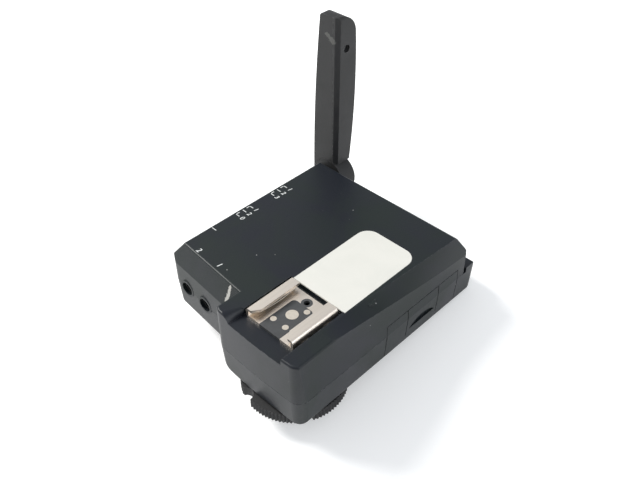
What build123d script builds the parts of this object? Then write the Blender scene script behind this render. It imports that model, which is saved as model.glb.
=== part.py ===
from build123d import *
import os
from math import cos, pi, sin, tan

# Wireless flash trigger, in millimetres.
# The origin is the centre of the camera foot's underside. +Z is up, +Y runs from the
# shoe block to the antenna, and +X is the side with the battery door.

# ---- Driving dimensions ---------------------------------------------------------------

# Plan of the housing
RIGHT_X = 18.8            # side with the battery door, at the parting line
SIDE_LEAN = 0.9           # how far it leans in towards the top
SWITCH_ROOM = 17.8        # from the battery bay to the side with the switches
BACK_Y = 68.2             # back face of the covers
JACK_FACE_LEFT_Y = -5.9   # the jack face runs slightly askew, from here
JACK_FACE_RIGHT_Y = -8.7  # to here, where it meets the shoe block
BLOCK_LEFT_X = -20.1      # left face of the shoe block at the parting line
BLOCK_LEAN = 1.4          # how far it leans in towards the top
BLOCK_FRONT_Y = -16.3     # crown of the block's bowed front
BLOCK_BOW = 0.7           # how far the front's ends lie behind its crown
BODY_CORNER_R = 5.5       # plan corner of the body at the sockets
BACK_CORNER_R = 2.0       # back corners of the top cover
LEDGE_CORNER_R = 4.0      # back corners of the ledge
BLOCK_CORNER_R = 4.0      # plan corners of the block

# Levels of the housing
BASE_Z = 9.0              # underside
PART_Z = 20.5             # parting line between the covers
TOP_Z = 37.5              # flat top
WALL = 1.6                # moulded wall
FLOOR_T = 1.6             # thickness of the underside
PART_GAP = 0.12           # gap at the parting line
TAPER = 3.5               # inward draft of the bottom cover, degrees
TOP_EDGE_R = 0.8          # round of the top's edges
BASE_EDGE_R = 1.2         # round of the underside's edges
BLOCK_UNDERCUT_R = 9.0    # large round under the block's left side

# Shoulders of the top cover
JACK_SHOULDER_IN = 3.3    # run of the shoulder over the jack face
LEFT_SHOULDER_IN = 6.5    # run of the shoulder over the switch side
SHOULDER_DROP = 8.5       # drop of both
BACK_SHOULDER_IN = 4.4
BACK_SHOULDER_DROP = 7.0
FACET_FRONT_W = 5.8       # the door side's facet is broad and level at the shoe
FACET_BACK_W = 1.8        # and narrow and steep at the back
FACET_DROP = 6.8          # its drop at the back

# Rear ledge that carries the folded antenna
LEDGE_DEPTH = 7.4
LEDGE_TOP_Z = 22.5
LEDGE_NOSE_Z = 17.4       # from here its back leans in
LEDGE_NOSE_IN = 2.8       # by this much at the top
LEDGE_GAP = 0.15          # between ledge and top cover

# Flash shoe on top
SHOE_W = 21.0
SHOE_L = 19.5
SHOE_SHEET = 1.0
SHOE_BASE_TOP_Z = 36.0
SHOE_LIP_TOP_Z = 39.0
SHOE_MOUTH_W = 12.7       # between the lips
SHOE_BEND_R = 1.25
SHOE_LEAD_IN = 3.2        # cut corner of each lip at the open end
SHOE_LEG_W = 3.0
SHOE_LEG_L = 2.8
RECESS_Z = 35.0           # floor of the recess round the shoe
RECESS_GAP = 1.15         # between shoe and recess wall
RECESS_GUTTER = 1.2       # between shoe and name plate
RECESS_SLOPE = 5.6        # run of the sloped left wall at the front
INSULATOR_W = 9.0
INSULATOR_T = 1.0
CENTRE_CONTACT_R = 2.1
SMALL_CONTACT_R = 1.05
CONTACT_PROUD = 0.05
CONTACT_LEAD_R = 0.5
SMALL_CONTACTS = ((-3.0, -5.2), (2.4, -5.2), (2.6, 4.0))
PIN_HOLE_AT = (-0.3, 6.8)
PIN_HOLE_R = 1.05
PIN_LOBE_R = 1.9
INSULATOR_BACK_Y = 5.3
INSULATOR_CORNER_R = 1.5
SPRING_T = 0.25
SPRING_W = 2.6
SPRING_SAG = 0.7

# Name plate
PLATE_W = 22.8
PLATE_L = 36.0
PLATE_X = 0.9
PLATE_T = 0.5
PLATE_CORNER_R = 5.0
FIT_GAP = 0.1             # a piece laid in its pocket

# Camera foot
FOOT_W = 18.6
FOOT_L = 18.0
FOOT_T = 1.9
STEM_R = 7.0
STEM_GAP = 0.05           # running gap of ring and clamp plate on the stem
RING_R = 18.3
RING_H = 3.8
RING_TOP_GAP = 0.5        # between ring and housing
RING_TEETH = 90
TOOTH_DEPTH = 0.55
RING_NOTCHES = 5          # finger notches
NOTCH_AT = -105.0         # the first one's angle
NOTCH_R = 2.6
CLAMP_R = 11.5
CLAMP_T = 0.6
CLAMP_GAP = 0.1           # between clamp plate and ring
LOCK_PIN_R = 1.0
LOCK_PIN_Y = 8.1
FOOT_CORE_R = 5.9
FOOT_PLATE_T = 2.0        # mounting plate inside the housing
FOOT_PLATE_W = 22.0
FOOT_PIN_OUT = 0.4
FOOT_PIN_UP = 3.4
FOOT_CENTRE_PIN_R = 1.3
FOOT_SMALL_PIN_R = 0.7
PIN_GAP = 0.06            # running gap of a sprung pin

# Battery bay and door
CELL_R = 7.25
CELL_L = 49.2
CELL_NUB_R = 2.75
CELL_NUB_L = 1.3
CELL_GAP = 0.4
BAY_Y0 = 27.0
BAY_PITCH = 17.0
BAY_WALL = 1.2
BAY_SIDE = 3.8            # from the door's face to the bay's end wall
SPRING_ROOM = 2.2
CONTACT_T = 0.3           # sheet of the cells' contacts
DOOR_Y0 = 25.0
DOOR_Y1 = 63.0
DOOR_T = 1.4
DOOR_GAP = 0.3
DOOR_TAB_TOP_Z = 24.6
LATCH_Y0 = 35.7
LATCH_Y1 = 52.2
LATCH_SLIT = 0.35
LATCH_SLIT_Z = 12.0
NAIL_Y0 = 37.2
NAIL_Y1 = 51.0
NAIL_Z = 14.5
NAIL_H = 3.1
NAIL_DEPTH = 0.8
HINGE_R = 1.5
HINGE_PIN_R = 0.75
HINGE_GAP = 0.04          # running gap of the knuckles on the pin
KNUCKLE_L = 8.0
KNUCKLE_IN = 1.0          # from the door's end to the knuckle
EAR_L = 3.0

CONTACT_W = 12.0          # square plates under the buttons
LEAF_W = 6.0              # bowed leaves at the flat ends

# Circuit board
RADIO_SIZE = (18.0, 20.0, 2.6)
CHIP_SIZE = (10.0, 10.0, 1.4)
BOARD_T = 1.6
BOARD_GAP = 1.0
BOSS_R = 2.7
SCREW_R = 1.1
SCREW_HEAD_R = 2.0
SCREW_HEAD_H = 1.4
SCREW_L = 9.0
POST_GAP = 1.8            # between hinge and screw post

# Sockets on the jack face
JACKS_IN = (20.7, 10.0)   # sockets' places from the switch side
JACK_BORE_R = 1.75
JACK_BORE_L = 12.0
JACK_NOSE_R = 2.5
JACK_NOSE_L = 3.0
JACK_NOSE_IN = 0.9        # nose behind the face
JACK_LIP_R = 3.4
JACK_LIP_OUT = 0.35
JACK_BODY_IN = 3.3        # body behind the face
JACK_BODY_W = 7.6
JACK_BODY_L = 11.0
JACK_BODY_H = 6.6

# Controls on the switch side
CONTROL_Z = 24.0
TEST_GAP = 0.35           # between socket and test switch
TEST_R = 2.4
TEST_OUT = 0.8
TEST_TRAVEL = 0.6
MODE_Y = 23.0
ZONE_Y = 40.0
SLIDER_TRAVEL = 2.5       # each way
SLIDER_W = 3.6
SLIDER_H = 2.2
SLIDER_OUT = 1.1
SLIDER_RIBS = 3
SLOT_GAP = 0.15
LED_Y = 31.5
LED_R = 0.9
USB_Y = 53.0
USB_W = 7.7
USB_H = 3.9
USB_L = 9.0
USB_SHEET = 0.4
SWITCH_DEPTH = 4.0
SWITCH_RISE = 1.9         # half its height
FLANGE_T = 0.7            # flange behind a cap
FLANGE_OVER = 0.8         # how far it reaches past the cap
TEST_SWITCH_L = 5.0
SLIDE_SWITCH_L = 10.0

# Tripod thread in the underside
THREAD_IN = 26.7          # from the switch side
THREAD_Y = 14.0
THREAD_R = 3.175
THREAD_L = 6.5
INSERT_R = 4.4

# Antenna
HUB_IN = 6.55             # from the switch side
HUB_Z = 27.9
HUB_R = 8.0
HUB_L = 7.5
HUB_GAP = 0.3             # between hub and back face
HUB_EDGE_R = 0.8
PIVOT_R = 2.5
PIVOT_GAP = 0.05
PIVOT_BOSS_R = 5.0
PIVOT_BOSS_L = 3.0
BLADE_L = 68.5            # from the hub's axis to the tip
BLADE_BASE_LEFT = 8.0     # left of the hub's axis at the base
BLADE_BASE_RIGHT = 3.7
BLADE_TOP_LEFT = 4.0
BLADE_TOP_RIGHT = 4.7
BLADE_BULGE = 0.9
BLADE_T_BASE = 7.0
BLADE_T_MID = 9.9
BLADE_T_TOP = 8.8
BLADE_CHAMFER = 1.5
BLADE_TOP_R = 7.6
BLADE_TIP_R = 1.2
BLADE_SEAM = 0.08
TONGUE_W = 4.0
TONGUE_T = 3.0
TONGUE_L = 10.0
CAVITY_GAP = 0.15
ELEMENT_W = 3.6
ELEMENT_T = 0.8
ELEMENT_L = 36.0
BLADE_SCREW_UP = 56.0     # from the hub's axis
BLADE_SCREW_R = 0.9
BLADE_SCREW_HEAD_R = 1.4
BLADE_SCREW_HEAD_H = 0.8
BLADE_SCREW_SINK = 2.4

# ---- Derived levels and places ----------------------------------------------------------

BAY_RIGHT_X = RIGHT_X - BAY_SIDE
BAY_X1 = BAY_RIGHT_X - BAY_WALL
BAY_X0 = BAY_X1 - CELL_L - CELL_NUB_L - SPRING_ROOM
LEFT_X = BAY_X0 - SWITCH_ROOM
LEDGE_BACK_Y = BACK_Y + LEDGE_DEPTH
RING_Z1 = BASE_Z - RING_TOP_GAP
RING_Z0 = RING_Z1 - RING_H
CLAMP_Z1 = RING_Z0 - CLAMP_GAP
CLAMP_Z0 = CLAMP_Z1 - CLAMP_T
FLOOR_Z = BASE_Z + FLOOR_T
CELL_Z = BASE_Z + DOOR_T + CELL_GAP + CELL_R
BAY_ROOF_Z0 = CELL_Z + CELL_R + CELL_GAP
BOARD_Z0 = BAY_ROOF_Z0 + BAY_WALL
BOARD_Z1 = BOARD_Z0 + BOARD_T
BAY_Y1 = BAY_Y0 + 2 * BAY_PITCH
HINGE_X = BAY_X0 - BAY_WALL - DOOR_GAP - HINGE_R
HINGE_Z = BASE_Z + HINGE_R
SHOE_FRONT_Y = -SHOE_L / 2
SHOE_BACK_Y = SHOE_L / 2
PLATE_Y0 = SHOE_BACK_Y + RECESS_GUTTER
HUB_X = LEFT_X + HUB_IN
HUB_Y0 = BACK_Y + HUB_GAP
BLADE_TOP_Z = HUB_Z + BLADE_L
BLADE_SCREW_Z = HUB_Z + BLADE_SCREW_UP
SPLIT_X = HUB_X + BLADE_BASE_RIGHT - BLADE_CHAMFER
BLADE_MID_Y = HUB_Y0 + BLADE_T_BASE / 2
TONGUE_X = HUB_X - 2.4
SHAFT_Y0 = BACK_Y - WALL - PIVOT_BOSS_L
INNER_X = LEFT_X + WALL
JACKS_X = tuple(LEFT_X + x for x in JACKS_IN)
THREAD_AT = (LEFT_X + THREAD_IN, THREAD_Y)
SCREWS_AT = (
    (JACKS_X[0] + JACK_BODY_W / 2 + BOSS_R + 3.8, 3.5),
    (HINGE_X - HINGE_R - BOSS_R - POST_GAP, LED_Y),
    (RIGHT_X - 6.0, BAY_Y0 - BAY_WALL - BOSS_R - 2.4),
    (BLOCK_LEFT_X + 2.0, BAY_Y0 - BAY_WALL - BOSS_R - 2.4),
)
RADIO_AT = (HINGE_X + 12.8, BAY_Y0 + BAY_PITCH)
CHIP_AT = (-7.0, BAY_Y0 + 4.0)
SWITCH_X0 = INNER_X + FLANGE_T + TEST_TRAVEL + 0.35


def jack_face_y(x):
    """Where the jack face lies at a place along it."""
    share = (x - LEFT_X) / (BLOCK_LEFT_X - LEFT_X)
    return JACK_FACE_LEFT_Y + share * (JACK_FACE_RIGHT_Y - JACK_FACE_LEFT_Y)


TEST_Y = jack_face_y(JACKS_X[1]) + JACK_BODY_IN + JACK_BODY_L + TEST_GAP + TEST_SWITCH_L / 2


# ---- Helpers ------------------------------------------------------------------------------

def brick(x0, x1, y0, y1, z0, z1):
    """Box between two corners."""
    return Pos((x0 + x1) / 2, (y0 + y1) / 2, (z0 + z1) / 2) * Box(x1 - x0, y1 - y0, z1 - z0)


def post(radius, x, y, z0, z1):
    """Upright cylinder."""
    return Pos(x, y, (z0 + z1) / 2) * Cylinder(radius, z1 - z0)


def rod_x(radius, y, z, x0, x1):
    """Cylinder along X."""
    return Pos((x0 + x1) / 2, y, z) * Rot(0, 90, 0) * Cylinder(radius, x1 - x0)


def rod_y(radius, x, z, y0, y1):
    """Cylinder along Y."""
    return Pos(x, (y0 + y1) / 2, z) * Rot(90, 0, 0) * Cylinder(radius, y1 - y0)


def beyond(point, outward, inset):
    """Everything on the outer side of a plane that is set in by a wall's depth."""
    normal = Vector(*outward).normalized()
    plane = Plane(origin=Vector(*point) - normal * inset, z_dir=normal)
    return plane * Box(300, 300, 100, align=(Align.CENTER, Align.CENTER, Align.MIN))


# ---- Housing forms ------------------------------------------------------------------------

def plan(inset=0.0, back_y=BACK_Y, back_r=BACK_CORNER_R):
    """Outline of the housing seen from above, body and shoe block in one."""
    front_end_y = BLOCK_FRONT_Y + BLOCK_BOW
    crown = ThreePointArc(
        (BLOCK_LEFT_X, front_end_y),
        ((BLOCK_LEFT_X + RIGHT_X) / 2, BLOCK_FRONT_Y),
        (RIGHT_X, front_end_y),
    )
    rest = Polyline(
        (RIGHT_X, front_end_y),
        (RIGHT_X, back_y),
        (LEFT_X, back_y),
        (LEFT_X, JACK_FACE_LEFT_Y),
        (BLOCK_LEFT_X, JACK_FACE_RIGHT_Y),
        (BLOCK_LEFT_X, front_end_y),
    )
    face = make_face(crown + rest)
    corners = face.vertices()
    block = [v for v in corners if v.Y < front_end_y + 0.1]
    hollow = [v for v in corners if abs(v.Y - JACK_FACE_RIGHT_Y) < 0.1]
    back = [v for v in corners if v.Y > back_y - 0.1]
    body = [v for v in corners if v not in block and v not in hollow and v not in back]
    face = fillet(body, BODY_CORNER_R)
    face = fillet([v for v in face.vertices() if v.Y > back_y - 0.1], back_r)
    face = fillet([v for v in face.vertices() if v.Y < front_end_y + 0.1], BLOCK_CORNER_R)
    return offset(face, -inset) if inset else face


def side_facet(inset):
    """What the twisted facet takes off the door side: level at the shoe, steep at the back."""
    reach = SIDE_LEAN + 1
    level = FACET_DROP / 200
    brow_x = RIGHT_X - SIDE_LEAN

    def section(y, width, drop):
        steep = drop / width
        x_in = brow_x - width - inset / 2
        z_out = TOP_Z - inset - drop - steep * (reach + inset / 2)
        points = ((x_in, TOP_Z - inset), (brow_x + reach, z_out),
                  (brow_x + reach, TOP_Z + 5), (x_in, TOP_Z + 5))
        return make_face(Polyline(*[(x, y, z) for x, z in points], close=True))

    return loft([section(0, FACET_FRONT_W, level), section(BACK_Y + 1, FACET_BACK_W, FACET_DROP)], ruled=True)


def soften(form):
    """Round the top edges, but not the cut where body and shoe block overlap."""
    crests = [e for e in form.edges()
              if e.bounding_box().min.Z > PART_Z + SHOULDER_DROP / 2 and abs(e.center().Y) > 0.1]
    return fillet(crests, TOP_EDGE_R)


def upper_form(inset=0.0):
    """Outer form of the top cover, or with an inset the room inside it."""
    height = TOP_Z - inset - PART_Z
    prism = extrude(Pos(0, 0, PART_Z) * plan(inset), height)
    prism -= beyond((RIGHT_X, 0, PART_Z), (TOP_Z - PART_Z, 0, SIDE_LEAN), inset)
    jack_run = BLOCK_LEFT_X - LEFT_X
    jack_skew = (JACK_FACE_RIGHT_Y - JACK_FACE_LEFT_Y) / jack_run
    shoulders = (
        ((LEFT_X, JACK_FACE_LEFT_Y, TOP_Z - SHOULDER_DROP),
         (jack_skew * SHOULDER_DROP, -SHOULDER_DROP, JACK_SHOULDER_IN)),
        ((LEFT_X, 0, TOP_Z - SHOULDER_DROP), (-SHOULDER_DROP, 0, LEFT_SHOULDER_IN)),
        ((0, BACK_Y, TOP_Z - BACK_SHOULDER_DROP), (0, BACK_SHOULDER_DROP, BACK_SHOULDER_IN)),
    )
    body = prism - brick(BLOCK_LEFT_X + inset, RIGHT_X, BLOCK_FRONT_Y - 1, JACK_FACE_RIGHT_Y + inset, PART_Z, TOP_Z)
    for point, outward in shoulders:
        body -= beyond(point, outward, inset)
    block = prism & brick(BLOCK_LEFT_X, RIGHT_X, BLOCK_FRONT_Y - 1, 0, PART_Z, TOP_Z)
    block -= beyond((BLOCK_LEFT_X, 0, PART_Z), (PART_Z - TOP_Z, 0, BLOCK_LEAN), inset)
    if not inset:
        body = soften(body)
        block = soften(block)
    return body + block - side_facet(inset)


def lower_form(inset=0.0):
    """Outer form of the bottom cover with its draft, or with an inset the room inside it."""
    depth = PART_Z - BASE_Z - inset
    skin = extrude(Pos(0, 0, PART_Z) * plan(inset, LEDGE_BACK_Y, LEDGE_CORNER_R), -depth, taper=TAPER)
    if not inset:
        skin = fillet(skin.faces().sort_by(Axis.Z)[0].edges(), BASE_EDGE_R)
    corner = BLOCK_UNDERCUT_R - inset
    x = BLOCK_LEFT_X + BLOCK_UNDERCUT_R
    z = BASE_Z + BLOCK_UNDERCUT_R
    spandrel = brick(BLOCK_LEFT_X - 1, x, BLOCK_FRONT_Y - 1, JACK_FACE_RIGHT_Y + inset, BASE_Z - 1, z)
    spandrel -= rod_y(corner, x, z, BLOCK_FRONT_Y - 2, JACK_FACE_RIGHT_Y + 2)
    return skin - spandrel - ledge_nose(inset)


def ledge_nose(inset):
    """What the leaning back takes off ledge and bottom cover."""
    return beyond((0, LEDGE_BACK_Y, LEDGE_NOSE_Z), (0, LEDGE_TOP_Z - LEDGE_NOSE_Z, LEDGE_NOSE_IN), inset)


def ledge_form(inset=0.0):
    """Rear ledge that rises from the bottom cover behind the top cover's back face."""
    z0 = PART_Z - (1.0 if inset else 0.0)
    block = extrude(Pos(0, 0, z0) * plan(inset, LEDGE_BACK_Y, LEDGE_CORNER_R), LEDGE_TOP_Z - inset - z0)
    y0 = BACK_Y + LEDGE_GAP + inset
    return (block & brick(LEFT_X, RIGHT_X, y0, LEDGE_BACK_Y + 1, z0 - 1, LEDGE_TOP_Z)) - ledge_nose(inset)


def recess_form(grow=0.0):
    """Room above the recess floor round the shoe, open at the block's front."""
    side = SHOE_W / 2 + RECESS_GAP + grow
    well = brick(-side, side, BLOCK_FRONT_Y - 5, PLATE_Y0 + grow, RECESS_Z - grow, TOP_Z + 5)
    rim = TOP_Z - RECESS_Z + grow

    def section(y, run):
        x_in = -side + 1
        foot = (x_in - 1 - 0.1 * run, y, RECESS_Z - grow)
        crest = (-side - run, y, TOP_Z)
        roll = TangentArc(crest, foot, tangent=(1, 0, -0.08))
        rest = Polyline(foot, (x_in, y, RECESS_Z - grow), (x_in, y, TOP_Z), crest)
        return make_face(roll + rest)

    slope = loft([section(BLOCK_FRONT_Y - 2, RECESS_SLOPE), section(SHOE_FRONT_Y, 0.5 * rim)], ruled=True)
    return well + slope


def screw_post(x, y, z0, z1, pilot_z0, pilot_z1):
    """Moulded post with a pilot hole for a cover screw."""
    return post(BOSS_R, x, y, z0, z1) - post(SCREW_R, x, y, pilot_z0, pilot_z1)


def door_zone(gap=0.0):
    """Cut-out of the battery door in side and underside, grown by a gap."""
    x_in = HINGE_X - HINGE_R - DOOR_GAP
    foot = brick(x_in if gap else HINGE_X, RIGHT_X + 5, DOOR_Y0 - gap, DOOR_Y1 + gap, BASE_Z - 5, FLOOR_Z + 0.5)
    side = brick(BAY_RIGHT_X, RIGHT_X + 5, DOOR_Y0 - gap, DOOR_Y1 + gap, BASE_Z, DOOR_TAB_TOP_Z + gap)
    return foot + side


# ---- Covers -------------------------------------------------------------------------------

def jack_openings(z_from, z_to):
    """Nose holes of the sockets in one cover, as cutters, with their raised lips."""
    holes = None
    lips = None
    for x in JACKS_X:
        front = JACK_FACE_RIGHT_Y - JACK_LIP_OUT - 2
        hole = rod_y(JACK_NOSE_R + FIT_GAP, x, PART_Z, front, JACK_NOSE_L)
        face_y = jack_face_y(x)
        lip = rod_y(JACK_LIP_R, x, PART_Z, face_y - JACK_LIP_OUT, face_y + WALL)
        lip &= brick(LEFT_X, 0, front, 10, z_from, z_to)
        holes = hole if holes is None else holes + hole
        lips = lip if lips is None else lips + lip
    return holes, lips


def top_cover():
    cover = upper_form() - recess_form()
    room = upper_form(WALL) - recess_form(WALL)
    room += extrude(Pos(0, 0, PART_Z - 1) * plan(WALL), 1.5)
    cover -= room
    cover -= brick(LEFT_X - 1, RIGHT_X + 1, BLOCK_FRONT_Y - 1, BACK_Y + 1, PART_Z - 1, PART_Z + PART_GAP / 2)
    holes, lips = jack_openings(PART_Z + PART_GAP / 2, TOP_Z)
    cover = cover + lips - holes
    # posts that the cover screws bite into, down to the board
    for x, y in SCREWS_AT:
        roof = RECESS_Z - WALL if y < PLATE_Y0 and abs(x) < SHOE_W / 2 else TOP_Z - WALL
        top = roof + WALL / 2
        cover += screw_post(x, y, BOARD_Z1, top, BOARD_Z1 - 1, BOARD_Z1 + SCREW_L / 2)
    # pocket of the name plate
    cover -= name_plate_form(FIT_GAP, TOP_Z - PLATE_T)
    # seats of the shoe: legs, contacts and locking-pin hole
    for x, y in shoe_legs():
        leg = brick(x - SHOE_SHEET / 2 - FIT_GAP, x + SHOE_SHEET / 2 + FIT_GAP,
                    y - SHOE_LEG_W / 2 - FIT_GAP, y + SHOE_LEG_W / 2 + FIT_GAP, RECESS_Z - WALL - 1, TOP_Z)
        cover -= leg
    for x, y in ((0, 0), *SMALL_CONTACTS):
        cover -= post(CONTACT_LEAD_R + FIT_GAP, x, y, RECESS_Z - WALL - 1, TOP_Z)
    x, y = PIN_HOLE_AT
    cover -= post(PIN_HOLE_R, x, y, RECESS_Z - WALL - 1, TOP_Z)
    # openings in the switch side
    cover -= rod_x(TEST_R + SLOT_GAP, TEST_Y, CONTROL_Z, LEFT_X - 1, LEFT_X + WALL + 1)
    for y in (MODE_Y, ZONE_Y):
        reach = SLIDER_TRAVEL + SLIDER_W / 2 + SLOT_GAP
        rise = SLIDER_H / 2 + SLOT_GAP
        cover -= brick(LEFT_X - 1, LEFT_X + WALL + 1, y - reach, y + reach, CONTROL_Z - rise, CONTROL_Z + rise)
    cover -= rod_x(LED_R + FIT_GAP, LED_Y, CONTROL_Z, LEFT_X - 1, LEFT_X + WALL + 1)
    cover -= brick(LEFT_X - 1, LEFT_X + WALL + 1, USB_Y - USB_W / 2 - FIT_GAP, USB_Y + USB_W / 2 + FIT_GAP,
                   CONTROL_Z - USB_H / 2 - FIT_GAP, CONTROL_Z + USB_H / 2 + FIT_GAP)
    # battery door's notch, and the antenna's pivot boss in the back wall
    cover -= door_zone(DOOR_GAP)
    boss = rod_y(PIVOT_BOSS_R, HUB_X, HUB_Z, BACK_Y - WALL - PIVOT_BOSS_L, BACK_Y - WALL / 2)
    cover += boss & upper_form(WALL / 2)
    cover -= rod_y(PIVOT_R + PIVOT_GAP, HUB_X, HUB_Z, SHAFT_Y0 - 1, BACK_Y + 1)
    return cover


def bottom_cover():
    cover = lower_form() - lower_form(WALL)
    cover -= brick(LEFT_X - 1, RIGHT_X + 1, BLOCK_FRONT_Y - 1, BACK_Y + LEDGE_GAP, PART_Z - PART_GAP / 2,
                   PART_Z + 1)
    holes, lips = jack_openings(BASE_Z, PART_Z - PART_GAP / 2)
    cover = cover + lips - holes
    # ledge behind the back face, with the wall that closes it and the hub's cradle
    cover += ledge_form() - ledge_form(WALL)
    y0 = BACK_Y + LEDGE_GAP
    cover += lower_form(WALL / 2) & brick(LEFT_X, RIGHT_X, y0, y0 + WALL, BASE_Z, PART_Z)
    low = HUB_Z - HUB_R - HUB_GAP
    cradle = rod_y(HUB_R + HUB_GAP, HUB_X, HUB_Z, BACK_Y, LEDGE_BACK_Y + 1)
    cradle += brick(LEFT_X - 1, HUB_X, BACK_Y, LEDGE_BACK_Y + 1, low, LEDGE_TOP_Z + 5)
    saddle = rod_y(HUB_R + HUB_GAP + WALL, HUB_X, HUB_Z, y0, LEDGE_BACK_Y)
    saddle += brick(LEFT_X, HUB_X, y0, LEDGE_BACK_Y, low - WALL, LEDGE_TOP_Z)
    cover += saddle & (ledge_form() + lower_form())
    cover -= cradle
    # battery bay, its end walls, sides and roof
    bay = brick(BAY_X0 - BAY_WALL, BAY_RIGHT_X, BAY_Y0 - BAY_WALL, BAY_Y1 + BAY_WALL, BASE_Z, BOARD_Z0)
    cover -= door_zone(DOOR_GAP)
    cover += bay - brick(BAY_X0, BAY_X1, BAY_Y0, BAY_Y1, BASE_Z - 1, BAY_ROOF_Z0)
    rebate_z = BASE_Z + DOOR_T + DOOR_GAP
    cover -= brick(HINGE_X - HINGE_R - DOOR_GAP, RIGHT_X, DOOR_Y0 - DOOR_GAP, DOOR_Y1 + DOOR_GAP,
                   BASE_Z - 1, rebate_z)
    rebate = brick(BAY_X0 - BAY_WALL, BAY_RIGHT_X, DOOR_Y0 - DOOR_GAP - BAY_WALL, DOOR_Y1 + DOOR_GAP + WALL / 2,
                   rebate_z, rebate_z + BAY_WALL)
    cover += rebate - brick(BAY_X0, BAY_X1, BAY_Y0, BAY_Y1, BASE_Z, rebate_z + BAY_WALL + 1)
    # ears that hold the hinge pin at both ends and between the knuckles
    for y0, y1 in hinge_ears():
        ear = rod_y(HINGE_R, HINGE_X, HINGE_Z, y0, y1)
        ear += brick(HINGE_X - HINGE_R, BAY_X0 - BAY_WALL / 2, y0, y1, HINGE_Z, HINGE_Z + HINGE_R + BAY_WALL)
        cover += ear
    cover -= rod_y(HINGE_PIN_R, HINGE_X, HINGE_Z, DOOR_Y0 - DOOR_GAP - EAR_L, DOOR_Y1 + DOOR_GAP + WALL / 2)
    # posts under the board, bored through for the screws and sunk for their heads
    for x, y in SCREWS_AT:
        cover += post(BOSS_R, x, y, BASE_Z, BOARD_Z0)
        cover -= post(SCREW_R + FIT_GAP, x, y, BASE_Z - 1, BOARD_Z0 + 1)
        cover -= post(SCREW_HEAD_R + FIT_GAP, x, y, BASE_Z - 1, screw_seat())
    # seat of the tripod insert
    x, y = THREAD_AT
    cover += post(INSERT_R + WALL, x, y, BASE_Z, BASE_Z + THREAD_L + WALL)
    cover -= post(INSERT_R, x, y, BASE_Z - 1, BASE_Z + THREAD_L)
    # passage of the camera foot's stem and the holes of its screws
    cover -= post(STEM_R + FIT_GAP, 0, 0, BASE_Z - 1, FLOOR_Z + 1)
    return cover


def screw_seat():
    """Level of the screws' head seats, deep inside their posts."""
    return BOARD_Z1 + SCREW_L / 2 - SCREW_L - SCREW_HEAD_H / 2


def hinge_ears():
    inner0 = DOOR_Y0 + KNUCKLE_IN + KNUCKLE_L + DOOR_GAP
    inner1 = DOOR_Y1 - KNUCKLE_IN - KNUCKLE_L - DOOR_GAP
    return (
        (DOOR_Y0 - DOOR_GAP - EAR_L, DOOR_Y0 - DOOR_GAP),
        (inner0, inner1),
        (DOOR_Y1 + DOOR_GAP, BACK_Y - WALL / 2),
    )


def name_plate_form(grow, z0):
    """Name plate's outline: square at the shoe, rounded at the back."""
    w = PLATE_W / 2 + grow
    y1 = PLATE_Y0 + PLATE_L + grow
    plate = brick(PLATE_X - w, PLATE_X + w, PLATE_Y0 - grow, y1, z0, TOP_Z)
    ends = [e for e in plate.edges().filter_by(Axis.Z) if e.center().Y > y1 - 0.1]
    return fillet(ends, PLATE_CORNER_R)


# ---- Flash shoe ---------------------------------------------------------------------------

def shoe_legs():
    """Where the bracket's legs go down through the cover."""
    x = SHOE_W / 2 - SHOE_SHEET / 2
    y = SHOE_L / 4
    return [(sx * x, sy * y) for sx in (-1, 1) for sy in (-1, 1)]


def shoe_bracket():
    """Bent sheet with a lip along each side and a window for the insulator."""
    w = SHOE_W / 2
    z0 = SHOE_BASE_TOP_Z - SHOE_SHEET
    height = SHOE_LIP_TOP_Z - z0
    tube = brick(-w, w, SHOE_FRONT_Y, SHOE_BACK_Y, z0, SHOE_LIP_TOP_Z)
    tube = fillet(tube.edges().filter_by(Axis.Y), SHOE_BEND_R)
    hollow = brick(-w + SHOE_SHEET, w - SHOE_SHEET, SHOE_FRONT_Y - 1, SHOE_BACK_Y + 1,
                   z0 + SHOE_SHEET, SHOE_LIP_TOP_Z - SHOE_SHEET)
    hollow = fillet(hollow.edges().filter_by(Axis.Y), SHOE_BEND_R - SHOE_SHEET)
    mouth = SHOE_MOUTH_W / 2
    bracket = tube - hollow
    bracket -= brick(-mouth, mouth, SHOE_FRONT_Y - 1, SHOE_BACK_Y + 1, SHOE_BASE_TOP_Z + 0.1, SHOE_LIP_TOP_Z + 1)
    for side in (-1, 1):
        lead = extrude(Plane.XY.offset(SHOE_BASE_TOP_Z + height / 4) * make_face(Polyline(
            (side * (mouth - 1), SHOE_FRONT_Y - 1),
            (side * (mouth + SHOE_LEAD_IN * 0.8), SHOE_FRONT_Y - 1),
            (side * (mouth - 1), SHOE_FRONT_Y + SHOE_LEAD_IN * 1.3),
            close=True)), height)
        bracket -= lead
    bracket -= insulator_form(FIT_GAP / 2, z0 - 1, SHOE_LIP_TOP_Z + 1)
    for x, y in shoe_legs():
        bracket += brick(x - SHOE_SHEET / 2, x + SHOE_SHEET / 2, y - SHOE_LEG_W / 2, y + SHOE_LEG_W / 2,
                         RECESS_Z - SHOE_LEG_L, z0 + SHOE_SHEET)
    return bracket


def insulator_form(grow, z0, z1):
    """Insulator's outline: open at the front, with a lobe round the locking-pin hole."""
    w = INSULATOR_W / 2 + grow
    form = brick(-w, w, SHOE_FRONT_Y - grow, INSULATOR_BACK_Y + grow, z0, z1)
    ends = [e for e in form.edges().filter_by(Axis.Z) if e.center().Y > 0]
    form = fillet(ends, INSULATOR_CORNER_R)
    x, y = PIN_HOLE_AT
    return form + post(PIN_LOBE_R + grow, x, y, z0, z1)


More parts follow.
